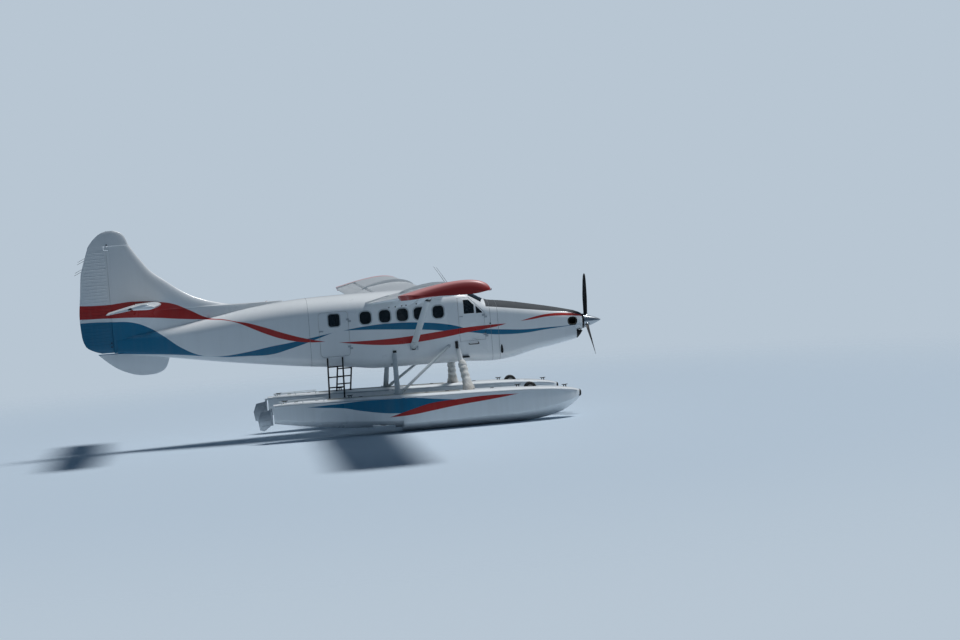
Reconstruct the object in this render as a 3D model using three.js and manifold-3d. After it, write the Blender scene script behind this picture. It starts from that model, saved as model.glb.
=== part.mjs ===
// A single-engined high-wing utility floatplane on twin amphibious floats, wheels retracted.
// Millimetres, +X towards the nose, +Y to port, +Z up. The origin is on the ground below the middle
// of its length: it stands level on the keels of its two floats.
import * as THREE from 'three';
import { mergeVertices } from 'three/addons/utils/BufferGeometryUtils.js';
import Module from 'manifold-3d';

const wasm = await Module();
wasm.setup();

// Driving dimensions
const FIT = 0.3;                   // gap between pieces that touch
const RUN = 6;                     // clearance around a piece that moves
const SURFACE_RUN = 14;            // clearance at the ends of flaps and ailerons
const WALL = 40;                   // cabin wall, skin to lining
const TAIL_WALL = 30;
const COWL_WALL = 22;
const FLOOR_Z = 1850;              // cabin floor
const CABIN_REAR_X = -950;
const FIREWALL_X = 3530;
const TAIL_POST_X = -5600;
const WINDOW = { z: 2785, width: 300, height: 330, corner: 75 };
const WINDOW_XS = [430, 905, 1340, 1760, 2225];
const DOOR_WINDOW_X = -340;

const SPAN_HALF = 8840;
const CHORD = 1900;
const WING_LE_X = 2370;
const WING_ROOT_Z = 3140;          // chord line at the side of the cabin
const WING_ROOT_Y = 800;
const DIHEDRAL = THREE.MathUtils.degToRad(2);
const WING_RISE = 245;             // upper surface above the chord line
const WING_DROP = 30;              // lower surface below it
const SURFACE_CHORD = 540;         // flap and aileron
const FLAP_Y = [960, 4560];
const AILERON_Y = [4620, 8180];
const TIP_Y = 8300;
const DROOP = THREE.MathUtils.degToRad(3);   // flaps and ailerons rest a little down

const THRUST_Z = 2235;
const COWL_FRONT_X = 5950;
const CHIN_X = 5735;               // the cowl ends here below the snout
const INTAKE = { half: 190, low: 1870, high: 1990 };
const SPINNER = { back: 5972, length: 460, radius: 185 };
const PROPELLER = { x: 6050, radius: 1210, blades: 3, first: THREE.MathUtils.degToRad(-11) };
const HUB = { radius: 110, behind: 20, ahead: 65, root: 70 };
// Half length, half height and corner of the exhaust's port, and how much smaller pipe and bore are
const EXHAUST = { x: 5644, z: 2271, half: 130, tall: 106, corner: 95, pipe: 20, bore: 38 };

const FIN_HINGE_X = -5680;
const FIN_TOP_Z = 5000;
const TAILPLANE = { z: 3500, half: 3050, rootLE: -4450, tipLE: -4570, hinge: -5110, thick: 105 };
const ELEVATOR_CHORD = 625;
const ELEVATOR_DROOP = THREE.MathUtils.degToRad(10);

const FLOAT_Y = 1500;
const STEP_X = 1050;
const NOSE_WHEEL = { x: 4240, z: 780, radius: 155, width: 120 };
const MAIN_WHEEL = { x: 610, z: 440, radius: 250, width: 125, offset: 88 };

// Solids and meshes

function positionOnly(geometry) {
  const plain = new THREE.BufferGeometry();
  plain.setAttribute('position', geometry.getAttribute('position').clone());
  if (geometry.index) plain.setIndex(geometry.index.clone());
  return mergeVertices(plain, 1e-3);
}

function signedVolume(positions, index) {
  let sum = 0;
  for (let i = 0; i < index.length; i += 3) {
    const [a, b, c] = [index[i] * 3, index[i + 1] * 3, index[i + 2] * 3];
    sum += positions[a] * (positions[b + 1] * positions[c + 2] - positions[b + 2] * positions[c + 1])
      + positions[a + 1] * (positions[b + 2] * positions[c] - positions[b] * positions[c + 2])
      + positions[a + 2] * (positions[b] * positions[c + 1] - positions[b + 1] * positions[c]);
  }
  return sum / 6;
}

function solid(geometry) {
  const merged = positionOnly(geometry);
  const vertProperties = new Float32Array(merged.getAttribute('position').array);
  const triVerts = new Uint32Array(merged.index.array);
  if (signedVolume(vertProperties, triVerts) < 0) {
    for (let i = 0; i < triVerts.length; i += 3) {
      [triVerts[i + 1], triVerts[i + 2]] = [triVerts[i + 2], triVerts[i + 1]];
    }
  }
  return new wasm.Manifold(new wasm.Mesh({ numProp: 3, vertProperties, triVerts }));
}

function geometryOf(manifold) {
  const mesh = manifold.getMesh();
  const geometry = new THREE.BufferGeometry();
  geometry.setAttribute('position', new THREE.BufferAttribute(new Float32Array(mesh.vertProperties), 3));
  geometry.setIndex(new THREE.BufferAttribute(new Uint32Array(mesh.triVerts), 1));
  return geometry;
}

const join = (first, ...rest) => rest.reduce((a, b) => a.add(b), first);
const cut = (first, ...rest) => rest.reduce((a, b) => a.subtract(b), first);

// The port piece turned into the starboard one
function mirrored(manifold) {
  const geometry = geometryOf(manifold);
  geometry.scale(1, -1, 1);
  return solid(geometry);
}

function turned(manifold, axis, angle, origin) {
  const geometry = geometryOf(manifold);
  geometry.translate(-origin[0], -origin[1], -origin[2]);
  geometry.applyMatrix4(new THREE.Matrix4().makeRotationAxis(new THREE.Vector3(...axis), angle));
  geometry.translate(...origin);
  return solid(geometry);
}

// A closed skin over rings that have the same number of points, with a fan at either end
function loft(rings) {
  const count = rings[0].length;
  const points = rings.flat();
  const index = [];
  for (let r = 0; r < rings.length - 1; r++) {
    for (let i = 0; i < count; i++) {
      const [a, b] = [r * count + i, r * count + (i + 1) % count];
      index.push(a, b, b + count, a, b + count, a + count);
    }
  }
  for (const [r, flip] of [[0, true], [rings.length - 1, false]]) {
    const centre = points.length;
    const sum = rings[r].reduce((s, p) => [s[0] + p[0], s[1] + p[1], s[2] + p[2]], [0, 0, 0]);
    points.push(sum.map((v) => v / count));
    for (let i = 0; i < count; i++) {
      const [a, b] = [r * count + i, r * count + (i + 1) % count];
      index.push(...(flip ? [b, a, centre] : [a, b, centre]));
    }
  }
  const geometry = new THREE.BufferGeometry();
  geometry.setAttribute('position', new THREE.Float32BufferAttribute(points.flat(), 3));
  geometry.setIndex(index);
  return solid(geometry);
}

function box(x0, x1, y0, y1, z0, z1) {
  const geometry = new THREE.BoxGeometry(x1 - x0, y1 - y0, z1 - z0);
  geometry.translate((x0 + x1) / 2, (y0 + y1) / 2, (z0 + z1) / 2);
  return solid(geometry);
}

// What was made upwards along Y, laid from one point towards another
function aimed(geometry, from, to) {
  const run = new THREE.Vector3(...to).sub(new THREE.Vector3(...from)).normalize();
  geometry.applyQuaternion(new THREE.Quaternion().setFromUnitVectors(new THREE.Vector3(0, 1, 0), run));
  geometry.translate(...from);
  return solid(geometry);
}

// A round bar between two points, with its own radius at either end
function bar(from, to, radius, endRadius = radius, sides = 12) {
  const length = new THREE.Vector3(...from).distanceTo(new THREE.Vector3(...to));
  const geometry = new THREE.CylinderGeometry(endRadius, radius, length, sides);
  geometry.translate(0, length / 2, 0);
  return aimed(geometry, from, to);
}

// A streamlined strut through stations of x, y, z and chord: its chord lies along X
function blade(stations, thickness) {
  const run = new THREE.Vector3(...stations.at(-1)).sub(new THREE.Vector3(...stations[0]));
  const length = Math.hypot(run.y, run.z);
  const [outY, outZ] = [(thickness * run.z) / length, (-thickness * run.y) / length];
  return loft(stations.map(([x, y, z, chord]) => streamline(12).map(([u, v]) => (
    [x - chord * (u - 0.4), y + v * outY, z + v * outZ]))));
}

// Chordwise outline of unit length and unit thickness, from nose to tail and back
function streamline(count) {
  const half = [];
  for (let i = 0; i <= count / 2; i++) {
    const u = (1 - Math.cos((Math.PI * i) / (count / 2))) / 2;
    half.push([u, thicknessAt(u)]);
  }
  const back = half.slice(1, -1).reverse().map(([u, v]) => [u, -v]);
  return [...half, ...back];
}

// Half thickness of a unit-thickness section at a fraction of its chord
function thicknessAt(u) {
  return 5 * (0.2969 * Math.sqrt(u) - 0.126 * u - 0.3516 * u ** 2 + 0.2843 * u ** 3 - 0.0965 * u ** 4);
}

function shapeOf(points) {
  return new THREE.Shape(points.map(([u, v]) => new THREE.Vector2(u, v)));
}

const extruded = (shape, depth) => new THREE.ExtrudeGeometry(
  shape, { depth, bevelEnabled: false, curveSegments: 4 });

// A side-view outline in X and Z, extruded across from y0 to y1
function sidePrism(shape, y0, y1) {
  const geometry = extruded(shape, y1 - y0);
  geometry.rotateX(Math.PI / 2);
  geometry.translate(0, y1, 0);
  return solid(geometry);
}

// A plan outline in X and Y, extruded up from z0 to z1
function planPrism(shape, z0, z1) {
  const geometry = extruded(shape, z1 - z0);
  geometry.translate(0, 0, z0);
  return solid(geometry);
}

function roundedRect(x0, x1, z0, z1, corner) {
  const shape = new THREE.Shape();
  shape.moveTo(x0 + corner, z0);
  shape.lineTo(x1 - corner, z0);
  shape.absarc(x1 - corner, z0 + corner, corner, -Math.PI / 2, 0);
  shape.lineTo(x1, z1 - corner);
  shape.absarc(x1 - corner, z1 - corner, corner, 0, Math.PI / 2);
  shape.lineTo(x0 + corner, z1);
  shape.absarc(x0 + corner, z1 - corner, corner, Math.PI / 2, Math.PI);
  shape.lineTo(x0, z0 + corner);
  shape.absarc(x0 + corner, z0 + corner, corner, Math.PI, Math.PI * 1.5);
  return shape;
}

// Fuselage: flat sides, a crowned roof and a shallow belly
const CORNER_STEPS = 5;

// One section across the body, its corners drawn as quarter ellipses
function bodyRing({ x, half, low, high, lowCorner, topWide, topTall }, inset = 0) {
  const ring = [];
  const w = half - inset;
  const bottom = low + inset;
  const top = high - inset;
  const rb = Math.max(lowCorner - inset, 5);
  const tw = Math.max(topWide - inset, 5);
  const tt = Math.max(topTall - inset, 5);
  const corners = [
    [w - rb, bottom + rb, rb, rb, -Math.PI / 2],
    [w - tw, top - tt, tw, tt, 0],
    [-(w - tw), top - tt, tw, tt, Math.PI / 2],
    [-(w - rb), bottom + rb, rb, rb, Math.PI],
  ];
  for (const [cy, cz, a, b, start] of corners) {
    for (let i = 0; i <= CORNER_STEPS; i++) {
      const t = start + (Math.PI / 2) * (i / CORNER_STEPS);
      ring.push([x, cy + a * Math.cos(t), cz + b * Math.sin(t)]);
    }
  }
  return ring;
}

// Columns: station, half width, bottom, top, low corner radius, width and height of the top corners
const sections = (rows) => rows.map(([x, half, low, high, lowCorner, topWide, topTall]) => (
  { x, half, low, high, lowCorner, topWide, topTall }));

const TAIL = sections([
  [TAIL_POST_X, 62, 2400, 2790, 50, 55, 120],
  [-4950, 150, 2285, 2850, 90, 130, 180],
  [-4200, 285, 2165, 2925, 130, 250, 260],
  [-3100, 480, 1985, 3110, 180, 420, 350],
  [-2190, 620, 1855, 3255, 210, 520, 400],
  [CABIN_REAR_X, 765, 1695, 3362, 240, 610, 430],
]);
const CABIN = sections([
  [CABIN_REAR_X, 765, 1695, 3362, 240, 610, 430],
  [0, 800, 1605, 3380, 250, 620, 430],
  [700, 800, 1525, 3380, 250, 620, 430],
  [2650, 800, 1510, 3350, 250, 600, 420],
  [2930, 745, 1500, 3290, 240, 560, 400],
  [FIREWALL_X, 610, 1462, 2975, 220, 470, 330],
]);
const COWL = sections([
  [FIREWALL_X, 610, 1462, 2975, 220, 470, 330],
  [3950, 565, 1492, 2915, 210, 440, 330],
  [4670, 480, 1640, 2775, 190, 370, 310],
  [5290, 395, 1735, 2640, 170, 310, 280],
  [CHIN_X, 315, 1827, 2528, 140, 256, 235],
]);
const COWL_SNOUT = sections([
  [CHIN_X - 10, 310, 2018, 2528, 185, 247, 234],
  [5870, 240, 2033, 2473, 180, 205, 205],
  [COWL_FRONT_X, 185, 2050, 2420, 170, 170, 170],
]);

const bodyLoft = (rows, inset = 0) => loft(rows.map((row) => bodyRing(row, inset)));
const moved = (rows, firstX, lastX) => rows.map((row, i) => {
  if (i === 0) return { ...row, x: firstX };
  if (i === rows.length - 1) return { ...row, x: lastX };
  return row;
});

const cabinOuter = bodyLoft(CABIN);
const tailOuter = bodyLoft(moved(TAIL, TAIL_POST_X, CABIN_REAR_X - FIT));
const cowlOuter = bodyLoft(moved(COWL, FIREWALL_X + FIT, CHIN_X));
// The body a hair larger all round, to trim what rests on it
const bodyClear = join(bodyLoft(CABIN, -FIT), bodyLoft(TAIL, -FIT), bodyLoft(COWL, -FIT));

// Below the floor the shell is solid, above it the wall has its real thickness
function insideRows(inset) {
  return CABIN.map((row) => ({ ...row, low: FLOOR_Z - inset, lowCorner: inset + 8 }));
}
const cabinInner = bodyLoft(moved(insideRows(WALL), CABIN_REAR_X + WALL, FIREWALL_X - WALL), WALL);

// Door outlines in the side view: the cabin doors are rounded, the cockpit's leans with its pillar
const CABIN_DOOR = { x0: -720, x1: 10, z0: 1900, z1: 2990, corner: 90 };
const CARGO_DOOR = { x0: -740, x1: 210, z0: 1900, z1: 2990, corner: 90 };
const doorShape = ({ x0, x1, z0, z1, corner }, g) => roundedRect(x0 + g, x1 - g, z0 + g, z1 - g, corner);
const COCKPIT_DOOR = [[2715, 2010], [3385, 2010], [3385, 2690], [3010, 3085], [2715, 3085]];
const COCKPIT_CENTRE = [2950, 2560];
function cockpitShape(g) {
  const [cx, cz] = COCKPIT_CENTRE;
  return shapeOf(COCKPIT_DOOR.map(([x, z]) => [x - Math.sign(x - cx) * g, z - Math.sign(z - cz) * g]));
}
const COCKPIT_PANES = [
  [[2850, 2670], [3140, 2670], [3140, 2890], [3005, 3035], [2850, 3035]],
  [[3165, 2660], [3350, 2660], [3350, 2695], [3165, 2885]],
];

const windowCut = (x, side) => sidePrism(roundedRect(
  x - WINDOW.width / 2, x + WINDOW.width / 2,
  WINDOW.z - WINDOW.height / 2, WINDOW.z + WINDOW.height / 2, WINDOW.corner,
), Math.min(side * 600, side * 900), Math.max(side * 600, side * 900));
const across = (shape, side, inner = 350) => sidePrism(
  shape, Math.min(side * inner, side * 950), Math.max(side * inner, side * 950));

// The windscreen opening in plan, straight down through the sloping front of the roof
// Columns: x, y, and the way in from there
const SCREEN_PLAN = [
  [3010, -600, 1, 1], [3060, -180, 1, 0], [3060, 180, 1, 0], [3010, 600, 1, -1],
  [3330, 545, -1, -1], [3440, 180, -1, 0], [3440, -180, -1, 0], [3330, -545, -1, 1],
];
const screenPrism = (g) => planPrism(
  shapeOf(SCREEN_PLAN.map(([x, y, inX, inY]) => [x + g * inX, y + g * inY])), 2780, 3500);

const shellBlank = cut(cabinOuter, cabinInner);

// A door hangs on two knuckles outside the skin at its front edge: [x, y, knuckle heights]
const HINGE_RADIUS = 16;
function doorHinge(x, y, side, heights) {
  const outY = y + side * HINGE_RADIUS;
  const plate = (x0, x1, innerY, z0, z1) => box(
    x0, x1, Math.min(innerY, outY), Math.max(innerY, outY), z0, z1);
  const fixed = [];
  const swung = [];
  for (const z of heights) {
    fixed.push(bar([x, outY, z - 45], [x, outY, z - FIT / 2], HINGE_RADIUS));
    fixed.push(plate(x, x + 60, y - side * 12, z - 45, z - FIT / 2));
    swung.push(bar([x, outY, z + FIT / 2], [x, outY, z + 45], HINGE_RADIUS));
    swung.push(plate(x - 8, x, y + side, z + FIT / 2, z + 45));
    swung.push(plate(x - 60, x - 8, y - side * 12, z + FIT / 2, z + 45));
  }
  return { fixed, swung };
}
const HINGES = {
  cabin_right: doorHinge(CABIN_DOOR.x1 + 2, -800, -1, [2100, 2760]),
  cargo_left: doorHinge(CARGO_DOOR.x1 + 2, 800, 1, [2100, 2760]),
  cockpit_right: doorHinge(3386, -643, -1, [2120, 2590]),
  cockpit_left: doorHinge(3386, 643, 1, [2120, 2590]),
};

function makeCabinShell() {
  let shell = shellBlank;
  for (const side of [-1, 1]) {
    for (const x of WINDOW_XS) shell = shell.subtract(windowCut(x, side));
    shell = shell.subtract(across(cockpitShape(0), side));
  }
  shell = shell.subtract(across(doorShape(CABIN_DOOR, 0), -1));
  shell = shell.subtract(across(doorShape(CARGO_DOOR, 0), 1));
  shell = shell.subtract(screenPrism(0));
  return join(shell, ...Object.values(HINGES).flatMap(({ fixed }) => fixed));
}

function makeDoor(shape, side, panes, { swung, fixed }) {
  let door = shellBlank.intersect(across(shape, side));
  for (const pane of panes) door = door.subtract(pane);
  return cut(join(door, ...swung), ...fixed);
}

const glassBetween = (outer, inner) => cut(bodyLoft(CABIN, outer), bodyLoft(CABIN, inner));

function makeWindscreen() {
  return glassBetween(8, 16).intersect(screenPrism(FIT));
}

// One pane behind each row of cabin windows, against the lining
function makeSideGlazing(side) {
  const [y0, y1] = side > 0 ? [600, 800] : [-800, -600];
  return glassBetween(WALL + FIT, WALL + 6)
    .intersect(box(WINDOW_XS[0] - 190, WINDOW_XS[4] + 190, y0, y1, WINDOW.z - 195, WINDOW.z + 195));
}

function makeTailCone() {
  const inner = bodyLoft(moved(TAIL.slice(1), -4900, CABIN_REAR_X + 50), TAIL_WALL);
  return cut(tailOuter, inner);
}

const ENGINE = {
  rear: 4350, front: 5425, radius: 235, gearRadius: 150, gearNose: 120, gearFront: 5635, shaft: 50,
};
const axleBar = (x0, x1, radius, endRadius = radius) => bar(
  [x0, 0, THRUST_Z], [x1, 0, THRUST_Z], radius, endRadius, 20);
const gearbox = (grow) => axleBar(
  ENGINE.front - 10, ENGINE.gearFront, ENGINE.gearRadius + grow, ENGINE.gearNose + grow);
const intakeMouth = box(CHIN_X - 285, COWL_FRONT_X + 50, -INTAKE.half, INTAKE.half, INTAKE.low, INTAKE.high);

// The exhaust's rounded port, or what lies inside it, from a distance off the middle outwards
function exhaustPrism(side, shrink, innerY) {
  const [half, tall] = [EXHAUST.half - shrink, EXHAUST.tall - shrink];
  const { x, z } = EXHAUST;
  const outline = roundedRect(x - half, x + half, z - tall, z + tall, EXHAUST.corner - shrink);
  return sidePrism(outline, side > 0 ? innerY : -500, side > 0 ? 500 : -innerY);
}

function makeCowl() {
  const inner = bodyLoft(moved(COWL, FIREWALL_X - 50, ENGINE.gearFront + 10), COWL_WALL);
  const hollow = cut(join(cowlOuter, bodyLoft(COWL_SNOUT)), inner);
  const shaftHole = axleBar(ENGINE.gearFront - 90, COWL_FRONT_X + 100, ENGINE.shaft + 30);
  const ports = [-1, 1].map((side) => exhaustPrism(side, 0, 100));
  return cut(hollow, shaftHole, intakeMouth, ...ports);
}

// The chin intake's black lip leans back from top to bottom and is rounded like the chin
function makeIntakeLip() {
  const foot = CHIN_X + FIT;
  const side = shapeOf([[foot, 1830], [CHIN_X + 38, 1832], [CHIN_X + 170, 2012], [foot, 2012]]);
  const round = sections([CHIN_X, COWL_FRONT_X].map((x) => [x, 240, 1828, 2100, 120, 40, 40]));
  const lip = sidePrism(side, -250, 250).intersect(bodyLoft(round));
  return cut(lip, intakeMouth, bodyLoft(COWL_SNOUT, -FIT));
}

function makeEngine() {
  const core = axleBar(ENGINE.rear, ENGINE.front, ENGINE.radius);
  const shaft = axleBar(ENGINE.gearFront - 10, SPINNER.back - FIT, ENGINE.shaft);
  const mounts = [[1, 1], [1, -1], [-1, 1], [-1, -1]].map(([y, z]) => bar(
    [FIREWALL_X + FIT, y * 380, THRUST_Z + z * 330], [4500, y * 150, THRUST_Z + z * 150], 22));
  const firewall = box(FIREWALL_X - 100, FIREWALL_X + FIT, -800, 800, 1500, 3000);
  return cut(join(core, gearbox(0), shaft, ...mounts), firewall);
}

function makeExhaust(side) {
  const pipe = exhaustPrism(side, EXHAUST.pipe, ENGINE.gearRadius - 40);
  const bore = exhaustPrism(side, EXHAUST.bore, 200);
  const underSkin = join(bodyLoft(COWL, 12), bodyLoft(COWL_SNOUT, 12));
  return cut(pipe, bore, gearbox(FIT)).intersect(underSkin);
}

const BLADE_ANGLES = Array.from({ length: PROPELLER.blades }, (_, k) => (
  (k * 2 * Math.PI) / PROPELLER.blades - PROPELLER.first));

const hubSolid = (grow) => axleBar(
  SPINNER.back + HUB.behind - grow, PROPELLER.x + HUB.ahead + grow, HUB.radius + grow);

// A blade's round way out through the spinner
function bladeRoom(angle) {
  const root = bar([PROPELLER.x, 0, 60], [PROPELLER.x, 0, 300], HUB.root);
  return placed(turned(root, [1, 0, 0], angle, [0, 0, 0]), 0, 0, THRUST_Z);
}

function makeSpinner() {
  const profile = [new THREE.Vector2(0, 0), new THREE.Vector2(SPINNER.radius, 0)];
  const steps = 7;
  for (let i = 1; i < steps; i++) {
    const u = i / steps;
    profile.push(new THREE.Vector2(SPINNER.radius * (1 - u) ** 0.8, SPINNER.length * u));
  }
  profile.push(new THREE.Vector2(0, SPINNER.length));
  const geometry = new THREE.LatheGeometry(profile, 20);
  geometry.rotateZ(-Math.PI / 2);
  geometry.translate(SPINNER.back, 0, THRUST_Z);
  return cut(solid(geometry), hubSolid(FIT), ...BLADE_ANGLES.map(bladeRoom));
}

// Blade stations, columns: radius fraction, chord, thickness, pitch from the disc in degrees
const BLADE = [
  [0.06, 95, 85, 60], [0.16, 105, 60, 52], [0.3, 130, 36, 40], [0.55, 170, 24, 28],
  [0.8, 160, 16, 21], [0.95, 125, 10, 17], [1.0, 60, 6, 15],
];

function makeBlades() {
  const rings = BLADE.map(([fraction, chord, thick, pitch]) => {
    const angle = THREE.MathUtils.degToRad(pitch);
    return streamline(10).map(([u, v]) => {
      const along = (u - 0.4) * chord;
      const out = v * thick;
      const x = -along * Math.sin(angle) + out * Math.cos(angle);
      const y = along * Math.cos(angle) + out * Math.sin(angle);
      return [PROPELLER.x + x, y, fraction * PROPELLER.radius];
    });
  });
  const upright = loft(rings);
  const blades = BLADE_ANGLES.map((angle) => (
    placed(turned(upright, [1, 0, 0], angle, [0, 0, 0]), 0, 0, THRUST_Z)));
  return join(hubSolid(0), ...blades);
}

// Wing

const chordZ = (y) => WING_ROOT_Z + (y - WING_ROOT_Y) * Math.tan(DIHEDRAL);
const WING = { le: WING_LE_X, chord: CHORD, rise: WING_RISE, drop: WING_DROP, sink: 0, bend: 0 };

// Wing outline at a span station: nose, over the top to the tail, back underneath
function wingRing(y, changes = {}) {
  const { le, chord, rise, drop, sink, bend } = { ...WING, ...changes };
  const z = chordZ(y) - sink;
  const steps = 9;
  const upper = [];
  const lower = [];
  for (let i = 0; i <= steps; i++) {
    const u = (1 - Math.cos((Math.PI * i) / steps)) / 2;
    const edge = i === steps ? 6 : 0;
    upper.push([le - u * chord, y, z + 2 * thicknessAt(u) * rise + edge]);
    const down = edge + bend * Math.max(0, (u - 0.55) / 0.45);
    if (i > 0) lower.unshift([le - u * chord + edge * bend * 0.1, y, z - 2 * thicknessAt(u) * drop - down]);
  }
  return [...upper, ...lower];
}

const wingFull = loft([300, TIP_Y].map((y) => wingRing(y)));
const wingClear = loft([300, TIP_Y].map((y) => wingRing(y, {
  le: WING_LE_X + FIT, rise: WING_RISE + 2, drop: WING_DROP + 2, chord: CHORD + 2 * FIT,
})));
const TRAILING_X = WING_LE_X - CHORD;
const SPAR_X = TRAILING_X + SURFACE_CHORD;

// A hinged surface: a round nose about its hinge line, then a taper to the trailing edge
const NOSE_RADIUS = 66;
const SURFACE_LIFT = 46;           // hinge line above the chord line
function surfaceRing(y) {
  const hingeX = SPAR_X - 12 - NOSE_RADIUS;
  const hingeZ = chordZ(y) + SURFACE_LIFT;
  const ring = [];
  for (let i = 0; i <= 6; i++) {
    const t = -Math.PI * 0.48 + (Math.PI * 0.96 * i) / 6;
    ring.push([hingeX + NOSE_RADIUS * Math.cos(t), y, hingeZ + NOSE_RADIUS * Math.sin(t)]);
  }
  ring.push([TRAILING_X, y, chordZ(y) + 6], [TRAILING_X, y, chordZ(y) - 6]);
  return ring;
}

const hingeLine = (y) => [SPAR_X - 12 - NOSE_RADIUS, y, chordZ(y) + SURFACE_LIFT];
const hingeAxis = new THREE.Vector3(0, Math.cos(DIHEDRAL), Math.sin(DIHEDRAL)).toArray();

// The pin end stands out of the surface to the rib that carries it
const PIN_REACH = SURFACE_RUN - 1.1;

function makeSurface([y0, y1], [pinFrom, pinTo]) {
  const body = loft([surfaceRing(y0), surfaceRing(y1)]);
  const pin = bar(hingeLine(pinFrom), hingeLine(pinTo), 20);
  return turned(join(body, pin), hingeAxis, -DROOP, hingeLine(y0));
}

const BRACKET_YS = [1500, 3000, 4400, 5300, 7300];
// Side view of a bracket, measured from the rear spar and the hinge line
const BRACKET = [[260, -60], [60, -60], [-90, -215], [-60, -235], [90, -180]];
const BRACKET_HALF = 9;
const DIVIDER_Y = (FLAP_Y[1] + AILERON_Y[0]) / 2;

function makeWing() {
  const bay = box(TRAILING_X - 200, SPAR_X, FLAP_Y[0] - SURFACE_RUN, AILERON_Y[1] + SURFACE_RUN, 2600, 4200);
  const brackets = BRACKET_YS.map((y) => {
    const [, , z] = hingeLine(y);
    const side = shapeOf(BRACKET.map(([dx, dz]) => [SPAR_X + dx, z + dz]));
    return sidePrism(side, y - BRACKET_HALF, y + BRACKET_HALF);
  });
  return join(cut(wingFull, bay, bodyClear), surfaceDivider(), makeFence(DIVIDER_Y), ...brackets);
}

// A hinge plate stands out of the rear spar between flap and aileron
function surfaceDivider() {
  const [x, , z] = hingeLine(DIVIDER_Y);
  return sidePrism(shapeOf([
    [SPAR_X + 30, z + 30], [x - 26, z + 24], [x - 26, z - 24], [SPAR_X + 30, z - 50],
  ]), DIVIDER_Y - 12, DIVIDER_Y + 12);
}

// A thin fence stands along the wing's top, its foot sunk below the skin
const FENCE = { x0: 880, x1: 2310, height: 75, thick: 8, sunk: 25, steps: 12 };

function makeFence(y) {
  const top = [];
  const foot = [];
  for (let i = 0; i <= FENCE.steps; i++) {
    const share = i / FENCE.steps;
    const x = THREE.MathUtils.lerp(FENCE.x0, FENCE.x1, share);
    const skin = chordZ(y) + 2 * thicknessAt((WING_LE_X - x) / CHORD) * WING_RISE;
    top.push([x, skin + FENCE.height * Math.max(Math.sin(Math.PI * share), 0) ** 0.45]);
    foot.unshift([x, skin - FENCE.sunk]);
  }
  return sidePrism(shapeOf([...top, ...foot]), y - FENCE.thick / 2, y + FENCE.thick / 2);
}

// The tip cap turns down along its trailing edge and rounds off outwards
// Columns: y, nose set back, chord taken off, rise, sink, turn-down of the trailing edge
const TIP = [
  [TIP_Y + FIT, 0, 0, WING_RISE, 0, 0], [8340, 0, 0, WING_RISE, 0, 60], [8480, 0, 0, WING_RISE, 0, 76],
  [8640, 10, 110, WING_RISE, 0, 76], [8760, 40, 190, WING_RISE - 15, 0, 76],
  [8820, 100, 360, WING_RISE - 70, 10, 60], [SPAN_HALF, 220, 700, 70, 30, 0],
];

const makeWingTip = () => loft(TIP.map(([y, back, shorter, rise, sink, bend]) => (
  wingRing(y, { le: WING_LE_X - back, chord: CHORD - shorter, rise, sink, bend }))));

// The strut is thin where it meets the body
const WING_STRUT = { rootY: 800, footX: 1550, footZ: 1940, topX: 1575, topY: 4600, thick: 72 };
const WING_STRUT_CHORDS = [[700, 72], [830, 75], [1010, 165], [4660, 150]];

function makeWingStrut() {
  const { rootY, footX, footZ, topX, topY } = WING_STRUT;
  const stations = WING_STRUT_CHORDS.map(([y, chord]) => {
    const share = (y - rootY) / (topY - rootY);
    return [footX + share * (topX - footX), y, footZ + share * (chordZ(topY) - footZ), chord];
  });
  return cut(blade(stations, WING_STRUT.thick), bodyClear, wingClear);
}

// Tail

// Fin and dorsal fillet by height, columns: z, leading edge, half thickness
const FIN = [
  [2700, -1500, 120], [3200, -1450, 118], [3352, -1500, 100], [3372, -2720, 92], [3450, -3130, 90],
  [3610, -3610, 88], [3830, -4000, 84], [4060, -4300, 80], [4330, -4640, 74], [4640, -4880, 68],
  [FIN_TOP_Z, -5120, 58],
];
const FIN_REAR_X = -5622;

function finRing(z, le, rear, half, rearShare = 0.62) {
  const steps = 6;
  const port = [];
  for (let i = 0; i <= steps; i++) {
    const u = (i / steps) ** 1.6;
    const swell = Math.sqrt(Math.min(1, u / 0.35) * (2 - Math.min(1, u / 0.35)));
    const taper = u < 0.35 ? 1 : 1 - (1 - rearShare) * ((u - 0.35) / 0.65);
    port.push([le + u * (rear - le), half * Math.max(swell * taper, 0.06), z]);
  }
  return [...port, ...port.slice().reverse().map(([x, y, zz]) => [x, -y, zz])];
}

const RUDDER_LUG = { z0: 4915, z1: 4990, reach: 45 };

function makeFin(tailplaneClear) {
  const body = loft(FIN.map(([z, le, half]) => finRing(z, le, FIN_REAR_X, half)));
  const lug = planPrism(shapeOf([
    [FIN_REAR_X + 60, 30], [FIN_HINGE_X - 20, 26], [FIN_HINGE_X - RUDDER_LUG.reach, 10],
    [FIN_HINGE_X - RUDDER_LUG.reach, -10], [FIN_HINGE_X - 20, -26], [FIN_REAR_X + 60, -30],
  ]), RUDDER_LUG.z0, RUDDER_LUG.z1);
  return cut(join(body, lug), bodyClear, tailplaneClear);
}

// Rudder trailing edge by height, columns: z, x
const RUDDER = [
  [2412, -5960], [2470, -6130], [2600, -6330], [2850, -6410], [3270, -6432], [3900, -6370],
  [4350, -6320], [4640, -6230], [4905, -6140],
];
const RUDDER_NOSE = 42;

function rudderRing(z, tail) {
  const ring = [];
  for (let i = 0; i <= 6; i++) {
    const t = -Math.PI * 0.48 + (Math.PI * 0.96 * i) / 6;
    ring.push([FIN_HINGE_X + RUDDER_NOSE * Math.cos(t), RUDDER_NOSE * Math.sin(t), z]);
  }
  ring.push([tail, 5, z], [tail, -5, z]);
  return ring;
}

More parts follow.
